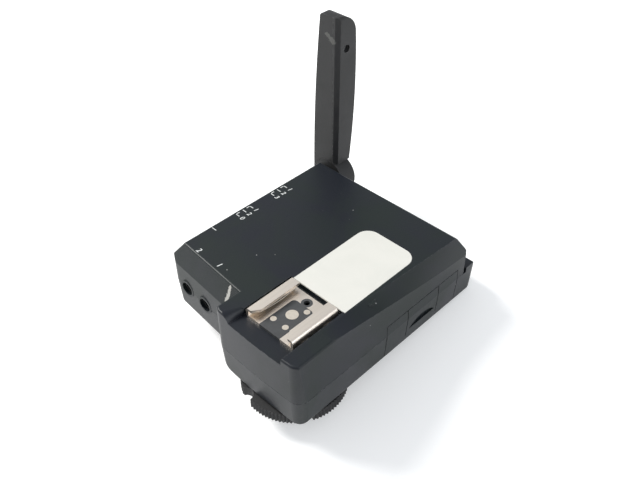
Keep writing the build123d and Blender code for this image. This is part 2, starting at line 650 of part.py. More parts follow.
def shoe_insulator():
    plate = insulator_form(0, RECESS_Z, SHOE_BASE_TOP_Z)
    plate -= post(CENTRE_CONTACT_R, 0, 0, SHOE_BASE_TOP_Z - INSULATOR_T / 2, SHOE_BASE_TOP_Z + 1)
    plate -= post(CONTACT_LEAD_R, 0, 0, RECESS_Z - 1, SHOE_BASE_TOP_Z)
    for x, y in SMALL_CONTACTS:
        plate -= post(SMALL_CONTACT_R, x, y, SHOE_BASE_TOP_Z - INSULATOR_T / 2, SHOE_BASE_TOP_Z + 1)
        plate -= post(CONTACT_LEAD_R, x, y, RECESS_Z - 1, SHOE_BASE_TOP_Z)
    x, y = PIN_HOLE_AT
    return plate - post(PIN_HOLE_R, x, y, RECESS_Z - 1, SHOE_BASE_TOP_Z + 1)


def shoe_contact(radius, x, y):
    """Contact disc with the lead that reaches down to the board."""
    disc = post(radius, x, y, SHOE_BASE_TOP_Z - INSULATOR_T / 2, SHOE_BASE_TOP_Z + CONTACT_PROUD)
    return disc + post(CONTACT_LEAD_R, x, y, BOARD_Z1, SHOE_BASE_TOP_Z)


def shoe_spring(side):
    """Leaf spring under a lip, sprung down in the middle."""
    z1 = SHOE_LIP_TOP_Z - SHOE_SHEET
    length = SHOE_L - 2 * SHOE_LEAD_IN
    y0 = -length / 2 + 1
    y1 = length / 2 + 1

    def arc(drop):
        ends = z1 - drop
        return (y0, ends), ((y0 + y1) / 2, ends - SPRING_SAG), (y1, ends)

    over = arc(0)
    under = arc(SPRING_T)
    edge = ThreePointArc(*over) + Line(over[2], under[2]) + ThreePointArc(*under) + Line(under[0], over[0])
    x0 = side * (SHOE_MOUTH_W / 2 + 0.1)
    strip = extrude(Plane.YZ.offset(x0) * make_face(edge), side * SPRING_W)
    return strip


# ---- Camera foot --------------------------------------------------------------------------

def foot_pins():
    """Places and radii of the sprung pins in the foot."""
    return [(0, 0, FOOT_CENTRE_PIN_R)] + [(0.8 * x, 0.8 * y, FOOT_SMALL_PIN_R) for x, y in SMALL_CONTACTS]


def foot_plate():
    """Plate that slides into a camera's shoe, with the stem that carries the ring."""
    w = FOOT_W / 2
    length = FOOT_L / 2
    plate = brick(-w, w, -length, length, 0, FOOT_T)
    plate = chamfer(plate.edges().filter_by(Axis.Z), 1.0)
    foot = plate + post(STEM_R, 0, 0, 0, FLOOR_Z)
    foot -= post(FOOT_CORE_R, 0, 0, -1, FOOT_T + FOOT_PIN_UP)
    foot -= post(LOCK_PIN_R + PIN_GAP, 0, LOCK_PIN_Y, -1, FOOT_T + 1)
    for x, y in foot_screw_places():
        foot -= post(SCREW_R, x, y, FLOOR_Z - 4, FLOOR_Z + 1)
    return foot


def foot_screw_places():
    r = STEM_R * 0.6
    return [(r * sx * 0.7, r * sy * 0.7) for sx in (-1, 1) for sy in (-1, 1)]


def foot_insulator():
    """Moulded core that guides the sprung pins."""
    core = post(FOOT_CORE_R, 0, 0, 0, FOOT_T + FOOT_PIN_UP)
    for x, y, r in foot_pins():
        core -= post(r + PIN_GAP, x, y, -1, FOOT_PIN_UP + FOOT_PIN_OUT)
    return core


def foot_contact_pins():
    return [chamfer(post(r, x, y, -FOOT_PIN_OUT, FOOT_PIN_UP).edges().filter_by(GeomType.CIRCLE)
                    .sort_by(Axis.Z)[0], r / 3) for x, y, r in foot_pins()]


def foot_mount_plate():
    """Steel plate inside the housing that the stem is screwed to."""
    w = FOOT_PLATE_W / 2
    plate = brick(-w, w, -w + 1, w - 1, FLOOR_Z, FLOOR_Z + FOOT_PLATE_T)
    plate = fillet(plate.edges().filter_by(Axis.Z), 2.0)
    for x, y in foot_screw_places():
        plate -= post(SCREW_R + FIT_GAP, x, y, FLOOR_Z - 1, FLOOR_Z + FOOT_PLATE_T + 1)
    return plate


def foot_screws():
    z = FLOOR_Z + FOOT_PLATE_T
    return [post(SCREW_R, x, y, z - 5, z) + post(SCREW_HEAD_R * 0.9, x, y, z, z + 1.0)
            for x, y in foot_screw_places()]


def lock_ring():
    """Knurled ring that clamps the foot, with finger notches in its rim."""
    points = []
    for i in range(2 * RING_TEETH):
        r = RING_R - (TOOTH_DEPTH if i % 2 else 0)
        a = pi * i / RING_TEETH
        points.append((r * cos(a), r * sin(a)))
    ring = extrude(Pos(0, 0, RING_Z0) * make_face(Polyline(*points, close=True)), RING_H)
    ring -= post(STEM_R + STEM_GAP, 0, 0, RING_Z0 - 1, RING_Z1 + 1)
    # dished underside
    ring -= post(RING_R - 4, 0, 0, RING_Z0 - 1, RING_Z0 + 0.5) - post(CLAMP_R, 0, 0, RING_Z0 - 2, RING_Z1)
    for i in range(RING_NOTCHES):
        a = NOTCH_AT * pi / 180 + 2 * pi * i / RING_NOTCHES
        ring -= post(NOTCH_R, RING_R * cos(a), RING_R * sin(a), RING_Z0 - 1, RING_Z1 + 1)
    return ring


def clamp_plate():
    """Washer under the ring that presses on the camera's shoe and carries the lock pin."""
    plate = post(CLAMP_R, 0, 0, CLAMP_Z0, CLAMP_Z1) - post(STEM_R + STEM_GAP, 0, 0, CLAMP_Z0 - 1, CLAMP_Z1 + 1)
    return plate - post(LOCK_PIN_R, 0, LOCK_PIN_Y, CLAMP_Z0 - 1, CLAMP_Z1 + 1)


def lock_pin():
    return post(LOCK_PIN_R, 0, LOCK_PIN_Y, 0.1, CLAMP_Z1)


# ---- Battery door and cells -----------------------------------------------------------------

def skin(depth):
    """Moulded skin of both covers as one shell of the given thickness."""
    outer = upper_form() + lower_form()
    return outer - (upper_form(depth) + lower_form(depth) + extrude(Pos(0, 0, PART_Z - 1) * plan(depth), 2))


def battery_door():
    """Door that wraps from the side onto the underside, with a latch finger in its side."""
    door = skin(DOOR_T) & door_zone()
    door -= brick(HINGE_X - 1, BAY_X0 - BAY_WALL / 2, DOOR_Y0 + KNUCKLE_IN + KNUCKLE_L,
                  DOOR_Y1 - KNUCKLE_IN - KNUCKLE_L, BASE_Z - 1, FLOOR_Z + 1)
    for y in (LATCH_Y0, LATCH_Y1):
        door -= brick(BAY_RIGHT_X - 1, RIGHT_X + 1, y - LATCH_SLIT / 2, y + LATCH_SLIT / 2,
                      LATCH_SLIT_Z, DOOR_TAB_TOP_Z + 1)
    for y0 in (DOOR_Y0 + KNUCKLE_IN, DOOR_Y1 - KNUCKLE_IN - KNUCKLE_L):
        door += rod_y(HINGE_R, HINGE_X, HINGE_Z, y0, y0 + KNUCKLE_L)
        door -= rod_y(HINGE_PIN_R + HINGE_GAP, HINGE_X, HINGE_Z, y0 - 1, y0 + KNUCKLE_L + 1)
    # crescent nail recess
    half = (NAIL_Y1 - NAIL_Y0) / 2
    mid = (NAIL_Y0 + NAIL_Y1) / 2
    nail = make_face(ThreePointArc((-half, 0), (0, NAIL_H), (half, 0)) + Line((half, 0), (-half, 0)))
    face_x = RIGHT_X - (PART_Z - NAIL_Z) * tan(TAPER * pi / 180)
    door -= extrude(Plane.YZ.offset(face_x - NAIL_DEPTH) * Pos(mid, NAIL_Z) * nail, 5)
    return door


def door_hinge_pin():
    return rod_y(HINGE_PIN_R, HINGE_X, HINGE_Z, DOOR_Y0 - DOOR_GAP - EAR_L, DOOR_Y1 + DOOR_GAP + WALL / 2)


def cell_row(i):
    """Centre line of a cell and the way its button points."""
    return BAY_Y0 + (i + 0.5) * BAY_PITCH, 1 if i == 0 else -1


def battery_cell(i):
    y, way = cell_row(i)
    x_button = BAY_X1 if way > 0 else BAY_X0
    near = x_button - way * CELL_NUB_L
    far = near - way * CELL_L
    body = rod_x(CELL_R, y, CELL_Z, min(near, far), max(near, far))
    ends = body.edges().filter_by(GeomType.CIRCLE)
    body = fillet(ends, 0.6)
    x0 = x_button - way * CONTACT_T
    return body + rod_x(CELL_NUB_R, y, CELL_Z, min(x0, near), max(x0, near))



def battery_button_contacts():
    """Flat plates that the cells' buttons press on."""
    plates = []
    for i in range(2):
        y, way = cell_row(i)
        x = BAY_X1 if way > 0 else BAY_X0
        x0, x1 = sorted((x, x - way * CONTACT_T))
        half = CONTACT_W / 2
        plates.append(brick(x0, x1, y - half, y + half, CELL_Z - half, CELL_Z + half))
    return plates


def battery_spring_contacts():
    """Bowed leaves that press on the cells' flat ends."""
    leaves = []
    for i in range(2):
        y, way = cell_row(i)
        wall = BAY_X0 if way > 0 else BAY_X1
        reach = SPRING_ROOM - 0.05
        end = CONTACT_W / 2
        root = end - 2 * CONTACT_T
        outer = ThreePointArc((0, -end), (way * reach, 0), (0, end))
        inner = ThreePointArc((0, root), (way * (reach - CONTACT_T), 0), (0, -root))
        edge = outer + Line((0, end), (0, root)) + inner + Line((0, -root), (0, -end))
        leaf = extrude(Plane.XZ.offset(-y - LEAF_W / 2) * Pos(wall, CELL_Z) * make_face(edge), LEAF_W)
        leaves.append(leaf)
    return leaves


# ---- Board, sockets and switches ----------------------------------------------------------

def main_circuit_board():
    board = extrude(Pos(0, 0, BOARD_Z0) * plan(WALL + BOARD_GAP), BOARD_T)
    board -= brick(LEFT_X, HUB_X + PIVOT_BOSS_R + 2, BACK_Y - WALL - PIVOT_BOSS_L - 5, BACK_Y,
                   BOARD_Z0 - 1, BOARD_Z1 + 1)
    for x, y in SCREWS_AT:
        board -= post(SCREW_R + FIT_GAP, x, y, BOARD_Z0 - 1, BOARD_Z1 + 1)
    return board


def cover_screws():
    """Screws that go up through the bottom posts and the board into the top cover's posts."""
    seat = screw_seat()
    tip = BOARD_Z1 + SCREW_L / 2 - 0.5
    return [post(SCREW_R, x, y, seat, tip) + post(SCREW_HEAD_R, x, y, seat - SCREW_HEAD_H, seat)
            for x, y in SCREWS_AT]


def board_package(place, size):
    """Plain package that stands on the board."""
    x, y = place
    w, length, height = size
    return brick(x - w / 2, x + w / 2, y - length / 2, y + length / 2, BOARD_Z1, BOARD_Z1 + height)



def jack_nose_y(x):
    """Front of a socket's nose, a little behind the face."""
    return jack_face_y(x) + JACK_NOSE_IN


def jack_socket(x):
    """Audio-size sync socket: nose through the covers, body and legs under the board."""
    nose_y = jack_nose_y(x)
    w = JACK_BODY_W / 2
    y0 = jack_face_y(x) + JACK_BODY_IN
    body = brick(x - w, x + w, y0, y0 + JACK_BODY_L, PART_Z - JACK_BODY_H / 2, PART_Z + JACK_BODY_H / 2)
    socket = body + rod_y(JACK_NOSE_R, x, PART_Z, nose_y, y0 + 1)
    for sx in (-1, 1):
        for y in (y0 + 1.5, y0 + JACK_BODY_L - 1.5):
            lx = x + sx * (w - 1)
            socket += brick(lx - 0.5, lx + 0.5, y - 0.5, y + 0.5, PART_Z, BOARD_Z0)
    return socket - rod_y(JACK_BORE_R, x, PART_Z, nose_y - 1, nose_y + JACK_BORE_L)


def usb_socket():
    """Small five-pin socket: folded shell round a tongue."""
    x0 = LEFT_X + 0.2
    w = USB_W / 2
    h = USB_H / 2
    shell = brick(x0, x0 + USB_L, USB_Y - w, USB_Y + w, CONTROL_Z - h, CONTROL_Z + h)
    shell = chamfer([e for e in shell.edges().filter_by(Axis.X) if e.center().Z < CONTROL_Z], 0.9)
    shell -= brick(x0 - 1, x0 + USB_L - 1.5, USB_Y - w + 1, USB_Y + w - 1,
                   CONTROL_Z - h + USB_SHEET, CONTROL_Z + h - USB_SHEET)
    shell += brick(x0 + 1, x0 + USB_L - 1, USB_Y - 2.2, USB_Y + 2.2, CONTROL_Z + 0.1, CONTROL_Z + 0.8)
    return shell + brick(x0 + USB_L - 2, x0 + USB_L - 0.5, USB_Y - 2, USB_Y + 2, CONTROL_Z + h - 0.1, BOARD_Z0)


def test_button():
    cap = rod_x(TEST_R, TEST_Y, CONTROL_Z, LEFT_X - TEST_OUT, INNER_X + 0.1)
    rim = cap.edges().filter_by(GeomType.CIRCLE).sort_by(Axis.X)[0]
    cap = fillet(rim, 0.35)
    return cap + rod_x(TEST_R + 0.4, TEST_Y, CONTROL_Z, INNER_X + 0.1, INNER_X + 0.1 + FLANGE_T)


def switch_body(y, length):
    """Switch soldered under the board, behind its cap."""
    body = brick(SWITCH_X0, SWITCH_X0 + SWITCH_DEPTH, y - length / 2, y + length / 2,
                 CONTROL_Z - SWITCH_RISE, CONTROL_Z + SWITCH_RISE)
    return body + brick(SWITCH_X0 + 1.5, SWITCH_X0 + SWITCH_DEPTH, y - length / 2 + 0.5,
                        y + length / 2 - 0.5, CONTROL_Z, BOARD_Z0)


def slider(y):
    """Ribbed cap of a slide switch, with the flange that closes its slot."""
    w = SLIDER_W / 2
    h = SLIDER_H / 2
    cap = brick(LEFT_X - SLIDER_OUT, INNER_X + 0.1, y - w, y + w, CONTROL_Z - h, CONTROL_Z + h)
    pitch = SLIDER_W / SLIDER_RIBS
    for i in range(SLIDER_RIBS - 1):
        groove_y = y - w + (i + 1) * pitch
        cap -= brick(LEFT_X - SLIDER_OUT - 1, LEFT_X - SLIDER_OUT + 0.4, groove_y - 0.25, groove_y + 0.25,
                     CONTROL_Z - h - 1, CONTROL_Z + h + 1)
    flange_w = w + SLIDER_TRAVEL + 0.5
    return cap + brick(INNER_X + 0.1, INNER_X + 0.1 + FLANGE_T, y - flange_w, y + flange_w,
                       CONTROL_Z - h - FLANGE_OVER, CONTROL_Z + h + FLANGE_OVER)


def status_led():
    lens = rod_x(LED_R, LED_Y, CONTROL_Z, LEFT_X - 0.1, SWITCH_X0 + 2)
    return lens + brick(SWITCH_X0 + 1, SWITCH_X0 + 2, LED_Y - 0.8, LED_Y + 0.8, CONTROL_Z, BOARD_Z0)


def thread_insert():
    x, y = THREAD_AT
    insert = post(INSERT_R, x, y, BASE_Z, BASE_Z + THREAD_L)
    return insert - post(THREAD_R, x, y, BASE_Z - 1, BASE_Z + THREAD_L - 0.8)


# ---- Antenna ------------------------------------------------------------------------------

def antenna_hub():
    """Pivot disc with its shaft through the back wall and the tongue inside the blade."""
    disc = rod_y(HUB_R, HUB_X, HUB_Z, HUB_Y0, HUB_Y0 + HUB_L)
    disc = fillet(disc.edges().filter_by(GeomType.CIRCLE).sort_by(Axis.Y)[-1], HUB_EDGE_R)
    shaft = rod_y(PIVOT_R, HUB_X, HUB_Z, SHAFT_Y0, HUB_Y0 + 1)
    tongue_y = BLADE_MID_Y
    tongue = brick(TONGUE_X - TONGUE_W / 2, TONGUE_X + TONGUE_W / 2, tongue_y - TONGUE_T / 2,
                   tongue_y + TONGUE_T / 2, HUB_Z, HUB_Z + HUB_R + TONGUE_L)
    hub = disc + shaft + tongue
    return hub - rod_y(SCREW_R, HUB_X, HUB_Z, SHAFT_Y0 - 1, BACK_Y + 1)


def blade_form():
    """Antenna blade as the meeting of its front outline and its side outline."""
    base_l = HUB_X - BLADE_BASE_LEFT
    base_r = HUB_X + BLADE_BASE_RIGHT
    top_l = HUB_X - BLADE_TOP_LEFT
    top_r = HUB_X + BLADE_TOP_RIGHT
    mid_z = (HUB_Z + BLADE_TOP_Z) / 2
    mid_l = (base_l + top_l) / 2 - BLADE_BULGE
    front = make_face(
        ThreePointArc((base_l, HUB_Z), (mid_l, mid_z), (top_l, BLADE_TOP_Z))
        + Polyline((top_l, BLADE_TOP_Z), (top_r, BLADE_TOP_Z), (base_r, HUB_Z), (base_l, HUB_Z))
    )
    tips = [v for v in front.vertices() if v.Y > BLADE_TOP_Z - 0.1]
    front = fillet(tips, BLADE_TIP_R)
    front_slab = extrude(Plane.XZ.offset(-HUB_Y0 + 5) * front, -20)
    y0 = HUB_Y0
    side = make_face(
        Polyline((y0, BLADE_TOP_Z), (y0, HUB_Z), (y0 + BLADE_T_BASE, HUB_Z))
        + ThreePointArc((y0 + BLADE_T_BASE, HUB_Z), (y0 + BLADE_T_MID, mid_z),
                        (y0 + BLADE_T_TOP, BLADE_TOP_Z))
        + Line((y0 + BLADE_T_TOP, BLADE_TOP_Z), (y0, BLADE_TOP_Z))
    )
    tip = [v for v in side.vertices() if v.Y > BLADE_TOP_Z - 0.1 and v.X > y0 + 1]
    side = fillet(tip, BLADE_TOP_R)
    side_slab = extrude(Plane.YZ.offset(base_l - 10) * side, 40)
    blade = front_slab & side_slab
    blade -= rod_y(HUB_R + BLADE_SEAM, HUB_X, HUB_Z, HUB_Y0 - 5, HUB_Y0 + 20)
    rise = BLADE_TOP_Z - HUB_Z
    bevel = (rise, -rise, base_r - top_r)
    return blade - beyond((base_r - BLADE_CHAMFER, y0, HUB_Z), bevel, 0)


def blade_cavity():
    """Room inside the blade for the hub's tongue and the antenna element."""
    x = TONGUE_X
    y = BLADE_MID_Y
    w = TONGUE_W / 2 + CAVITY_GAP
    t = TONGUE_T / 2 + CAVITY_GAP
    z0 = HUB_Z + HUB_R - 2
    return brick(x - w, x + w, y - t, y + t, z0, HUB_Z + HUB_R + TONGUE_L + ELEMENT_L + 1)


def blade_shells():
    """The blade's two halves, split at the inner edge of its chamfer."""
    blade = blade_form() - blade_cavity()
    y = BLADE_MID_Y + 1.2
    blade -= rod_x(BLADE_SCREW_R, y, BLADE_SCREW_Z, SPLIT_X - 3, RIGHT_X)
    blade -= rod_x(BLADE_SCREW_HEAD_R + FIT_GAP, y, BLADE_SCREW_Z, blade_screw_x(), RIGHT_X)
    half = BLADE_SEAM / 2
    left = blade & brick(LEFT_X - 20, SPLIT_X - half, HUB_Y0 - 5, HUB_Y0 + 20, HUB_Z, BLADE_TOP_Z + 1)
    right = blade & brick(SPLIT_X + half, RIGHT_X, HUB_Y0 - 5, HUB_Y0 + 20, HUB_Z, BLADE_TOP_Z + 1)
    return left, right


def blade_screw_x():
    """Seat of the screw's head under the blade's right face."""
    share = (BLADE_SCREW_Z - HUB_Z) / (BLADE_TOP_Z - HUB_Z)
    face = HUB_X + BLADE_BASE_RIGHT + share * (BLADE_TOP_RIGHT - BLADE_BASE_RIGHT)
    return face - BLADE_SCREW_SINK


def antenna_screw():
    y = BLADE_MID_Y + 1.2
    shank = rod_x(BLADE_SCREW_R, y, BLADE_SCREW_Z, SPLIT_X - 3, blade_screw_x())
    head = rod_x(BLADE_SCREW_HEAD_R, y, BLADE_SCREW_Z, blade_screw_x(), blade_screw_x() + BLADE_SCREW_HEAD_H)
    return shank + head


def antenna_element():
    """Flat radiator that stands on the hub's tongue."""
    x = TONGUE_X
    y = BLADE_MID_Y
    z0 = HUB_Z + HUB_R + TONGUE_L
    return brick(x - ELEMENT_W / 2, x + ELEMENT_W / 2, y - ELEMENT_T / 2, y + ELEMENT_T / 2, z0, z0 + ELEMENT_L)


def antenna_pivot_washer():
    y1 = SHAFT_Y0
    washer = rod_y(PIVOT_R + 1.1, HUB_X, HUB_Z, y1 - 0.6, y1)
    return washer - rod_y(SCREW_R + FIT_GAP, HUB_X, HUB_Z, y1 - 2, y1 + 1)


def antenna_pivot_screw():
    y1 = SHAFT_Y0
    shank = rod_y(SCREW_R, HUB_X, HUB_Z, y1 - 0.6, y1 + 3)
    return shank + rod_y(SCREW_HEAD_R, HUB_X, HUB_Z, y1 - 1.8, y1 - 0.6)


# ---- The assembly -------------------------------------------------------------------------

def build():
    """All sub-parts by name. A list is a group of like solids in one node."""
    left_shell, right_shell = blade_shells()
    parts = {
        "top_cover": top_cover(),
        "bottom_cover": bottom_cover(),
        "name_plate": name_plate_form(0, TOP_Z - PLATE_T),
        "cover_screws": cover_screws(),
        "main_circuit_board": main_circuit_board(),
        "radio_module": board_package(RADIO_AT, RADIO_SIZE),
        "processor_chip": board_package(CHIP_AT, CHIP_SIZE),
        "usb_socket": usb_socket(),
        "test_button": test_button(),
        "test_switch": switch_body(TEST_Y, TEST_SWITCH_L),
        "mode_slider": slider(MODE_Y),
        "mode_switch": switch_body(MODE_Y, SLIDE_SWITCH_L),
        "zone_slider": slider(ZONE_Y),
        "zone_switch": switch_body(ZONE_Y, SLIDE_SWITCH_L),
        "status_led": status_led(),
        "thread_insert": thread_insert(),
        "shoe_bracket": shoe_bracket(),
        "shoe_insulator": shoe_insulator(),
        "shoe_centre_contact": shoe_contact(CENTRE_CONTACT_R, 0, 0),
        "shoe_small_contacts": [shoe_contact(SMALL_CONTACT_R, x, y) for x, y in SMALL_CONTACTS],
        "shoe_spring_left": shoe_spring(-1),
        "shoe_spring_right": shoe_spring(1),
        "foot_plate": foot_plate(),
        "foot_insulator": foot_insulator(),
        "foot_contact_pins": foot_contact_pins(),
        "foot_mount_plate": foot_mount_plate(),
        "foot_screws": foot_screws(),
        "lock_ring": lock_ring(),
        "clamp_plate": clamp_plate(),
        "lock_pin": lock_pin(),
        "battery_door": battery_door(),
        "door_hinge_pin": door_hinge_pin(),
        "battery_button_contacts": battery_button_contacts(),
        "battery_spring_contacts": battery_spring_contacts(),
        "antenna_hub": antenna_hub(),
        "antenna_left_shell": left_shell,
        "antenna_right_shell": right_shell,
        "antenna_element": antenna_element(),
        "antenna_screw": antenna_screw(),
        "antenna_pivot_washer": antenna_pivot_washer(),
        "antenna_pivot_screw": antenna_pivot_screw(),
    }
    for i, x in enumerate(JACKS_X):
        parts[f"jack_socket_{i + 1}"] = jack_socket(x)
    for i in range(2):
        parts[f"battery_cell_{i + 1}"] = battery_cell(i)
    return parts


def main():
    os.makedirs("parts", exist_ok=True)
    for name, shape in build().items():
        solid = Compound(children=list(shape)) if isinstance(shape, list) else shape
        export_step(solid, os.path.join("parts", name + ".step"))


if __name__ == "__main__":
    main()
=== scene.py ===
import math

import bpy
from mathutils import Matrix, Vector


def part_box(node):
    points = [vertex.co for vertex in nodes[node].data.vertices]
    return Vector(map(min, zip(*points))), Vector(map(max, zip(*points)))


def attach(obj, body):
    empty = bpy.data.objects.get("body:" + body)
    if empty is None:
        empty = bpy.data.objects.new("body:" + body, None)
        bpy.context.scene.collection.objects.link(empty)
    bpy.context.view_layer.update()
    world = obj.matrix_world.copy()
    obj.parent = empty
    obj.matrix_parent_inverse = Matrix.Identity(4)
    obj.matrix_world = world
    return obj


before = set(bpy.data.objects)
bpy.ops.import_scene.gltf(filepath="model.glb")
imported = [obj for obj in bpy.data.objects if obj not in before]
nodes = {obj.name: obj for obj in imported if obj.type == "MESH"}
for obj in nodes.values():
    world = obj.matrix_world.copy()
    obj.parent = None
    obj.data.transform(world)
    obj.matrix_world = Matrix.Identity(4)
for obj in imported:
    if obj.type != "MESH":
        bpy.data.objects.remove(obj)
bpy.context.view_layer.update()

MM = 0.001

# ---- Sizes, in millimetres, and places taken from the frame -----------------------------

PRINT_T = 0.03            # thickness of the pad print
PRINT_STROKE = 0.32
DIGIT_H = 1.9
BRACKET_X = -49.2         # spine of the switch brackets
BRACKET_REACH = 1.6
DIGIT_X = -46.0
SWITCH_STEP = 3.3         # between a slide switch's positions
JACK_MARK_Y = -2.0

AZIMUTH = math.radians(44.7)
ELEVATION = math.radians(40.67)
ROLL = math.radians(-0.51)

THREAD_R = 3.175          # of the tripod thread
THREAD_PITCH = 1.27
THREAD_DEPTH = 0.5
THREAD_TURNS = 4
THREAD_START = 0.5        # above the insert's mouth
CROSS_REACH = 0.62        # arm of the painted shade of a screw's cross recess, as a share of the head
CROSS_WIDTH = 0.3         # width of an arm, as a share of its reach
CROSS_T = 0.06

# Wear and painted highlight on the covers: start, stop and half width of each stretch; the first two
# are a scrape, the last two a painted highlight down the block's left face
SCRAPE_AND_HIGHLIGHT = (
    ((-23.0, -5.8, 36.4), (-23.2, -7.0, 33.2), 0.75),
    ((-23.2, -7.0, 33.2), (-23.3, -8.2, 30.0), 0.95),
    # painted highlight down the block's left face
    ((-18.7, -12.6, 36.2), (-18.8, -13.4, 32.0), 0.35),
    ((-18.8, -13.4, 32.0), (-19.8, -13.4, 24.0), 0.25),
)

# Light
ROOM_LIGHT = 0.62         # pale room, as the object sees it
FLOOR_GLOW = 0.30         # added where the camera or a reflection sees the floor
FLOOR_REACH = 1500.0
STAGE_CENTRE = (0, 0.02, 0.02)
CAMERA_AT = Vector((123.5, -112.1, 209.8)) * MM
LENS = 43.1


def low(name):
    return Vector(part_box(name)[0]) / MM


def high(name):
    return Vector(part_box(name)[1]) / MM


def middle(name):
    return (low(name) + high(name)) / 2


TOP_Z = high("top_cover").z


# ---- Node tools -----------------------------------------------------------------------

def put(tree, kind, inputs=None, **settings):
    """Adds a node. An input is set to a value or linked to a socket."""
    made = tree.nodes.new(kind)
    for key, value in settings.items():
        setattr(made, key, value)
    for key, value in (inputs or {}).items():
        if isinstance(value, bpy.types.NodeSocket):
            tree.links.new(value, made.inputs[key])
        else:
            made.inputs[key].default_value = value
    return made


def math_node(tree, operation, *values, clamp=False):
    made = tree.nodes.new("ShaderNodeMath")
    made.operation = operation
    made.use_clamp = clamp
    for i, value in enumerate(values):
        if isinstance(value, bpy.types.NodeSocket):
            tree.links.new(value, made.inputs[i])
        else:
            made.inputs[i].default_value = value
    return made.outputs[0]


def vector_node(tree, operation, *values, out="Vector"):
    made = tree.nodes.new("ShaderNodeVectorMath")
    made.operation = operation
    for i, value in enumerate(values):
        if isinstance(value, bpy.types.NodeSocket):
            tree.links.new(value, made.inputs[i])
        else:
            made.inputs[i].default_value = value
    return made.outputs[out]


def spread(tree, value, from_low, from_high, to_low=0.0, to_high=1.0):
    """Maps a range to another with soft ends."""
    made = put(tree, "ShaderNodeMapRange", {
        "Value": value, "From Min": from_low, "From Max": from_high,
        "To Min": to_low, "To Max": to_high}, interpolation_type="SMOOTHSTEP")
    return made.outputs["Result"]


def mix_colour(tree, factor, a, b, blend="MIX"):
    made = tree.nodes.new("ShaderNodeMix")
    made.data_type = "RGBA"
    made.blend_type = blend
    for socket, value in (("Factor_Float", factor), ("A_Color", a), ("B_Color", b)):
        target = next(s for s in made.inputs if s.identifier == socket)
        if isinstance(value, bpy.types.NodeSocket):
            tree.links.new(value, target)
        else:
            target.default_value = value
    return next(s for s in made.outputs if s.identifier == "Result_Color")


def new_group(name, inputs, outputs):
    """A shader group with named sockets. Inputs are (name, kind, default)."""
    group = bpy.data.node_groups.new(name, "ShaderNodeTree")
    for label, kind, default in inputs:
        socket = group.interface.new_socket(label, in_out="INPUT", socket_type=kind)
        if default is not None:
            socket.default_value = default
    for label, kind in outputs:
        group.interface.new_socket(label, in_out="OUTPUT", socket_type=kind)
    entry = group.nodes.new("NodeGroupInput").outputs
    leave = group.nodes.new("NodeGroupOutput").inputs
    return group, entry, leave


FLOAT = "NodeSocketFloat"
COLOUR = "NodeSocketColor"
VECTOR = "NodeSocketVector"


# ---- Shared effects -------------------------------------------------------------------

def spark_texture():
    """Fine moulded grain, as a height."""
    group, entry, leave = new_group(
        "spark_texture", [("Place", VECTOR, None), ("Grain", FLOAT, 2600.0)], [("Height", FLOAT)])
    fine = put(group, "ShaderNodeTexNoise", {
        "Vector": entry["Place"], "Scale": entry["Grain"], "Detail": 2.0, "Roughness": 0.6})
    coarse = put(group, "ShaderNodeTexVoronoi", {
        "Vector": entry["Place"], "Scale": math_node(group, "MULTIPLY", entry["Grain"], 0.7)})
    joined = math_node(group, "ADD", fine.outputs["Fac"],
                       math_node(group, "MULTIPLY", coarse.outputs["Distance"], 0.5))
    group.links.new(joined, leave["Height"])
    return group


def tone_drift():
    """Slow change between two tones, with a finer cloud inside it."""
    group, entry, leave = new_group(
        "tone_drift",
        [("Place", VECTOR, None), ("Tone", COLOUR, None), ("Other Tone", COLOUR, None),
         ("Size", FLOAT, 45.0)],
        [("Colour", COLOUR), ("Cloud", FLOAT)])
    slow = put(group, "ShaderNodeTexNoise", {
        "Vector": entry["Place"], "Scale": entry["Size"],
        "Detail": 4.0, "Roughness": 0.55, "Distortion": 0.6})
    cloud = spread(group, slow.outputs["Fac"], 0.35, 0.68)
    group.links.new(mix_colour(group, cloud, entry["Tone"], entry["Other Tone"]), leave["Colour"])
    group.links.new(cloud, leave["Cloud"])
    return group


def worn_edges():
    """Mask of the sharp edges, broken up by a cloud."""
    group, entry, leave = new_group(
        "worn_edges",
        [("Place", VECTOR, None), ("Reach", FLOAT, 0.0005), ("Break Up", FLOAT, 500.0),
         ("Amount", FLOAT, 0.5)],
        [("Mask", FLOAT)])
    rounded = put(group, "ShaderNodeBevel", {"Radius": entry["Reach"]}, samples=6)
    flat = put(group, "ShaderNodeNewGeometry")
    alike = vector_node(group, "DOT_PRODUCT", rounded.outputs["Normal"], flat.outputs["Normal"],
                        out="Value")
    edge = spread(group, math_node(group, "SUBTRACT", 1.0, alike), 0.02, 0.2)
    cloud = put(group, "ShaderNodeTexNoise", {
        "Vector": entry["Place"], "Scale": entry["Break Up"], "Detail": 3.0, "Roughness": 0.7})
    broken = spread(group, cloud.outputs["Fac"], 0.42, 0.6)
    worn = math_node(group, "MULTIPLY", edge, broken)
    mask = math_node(group, "MULTIPLY", worn, entry["Amount"], clamp=True)
    group.links.new(mask, leave["Mask"])
    return group


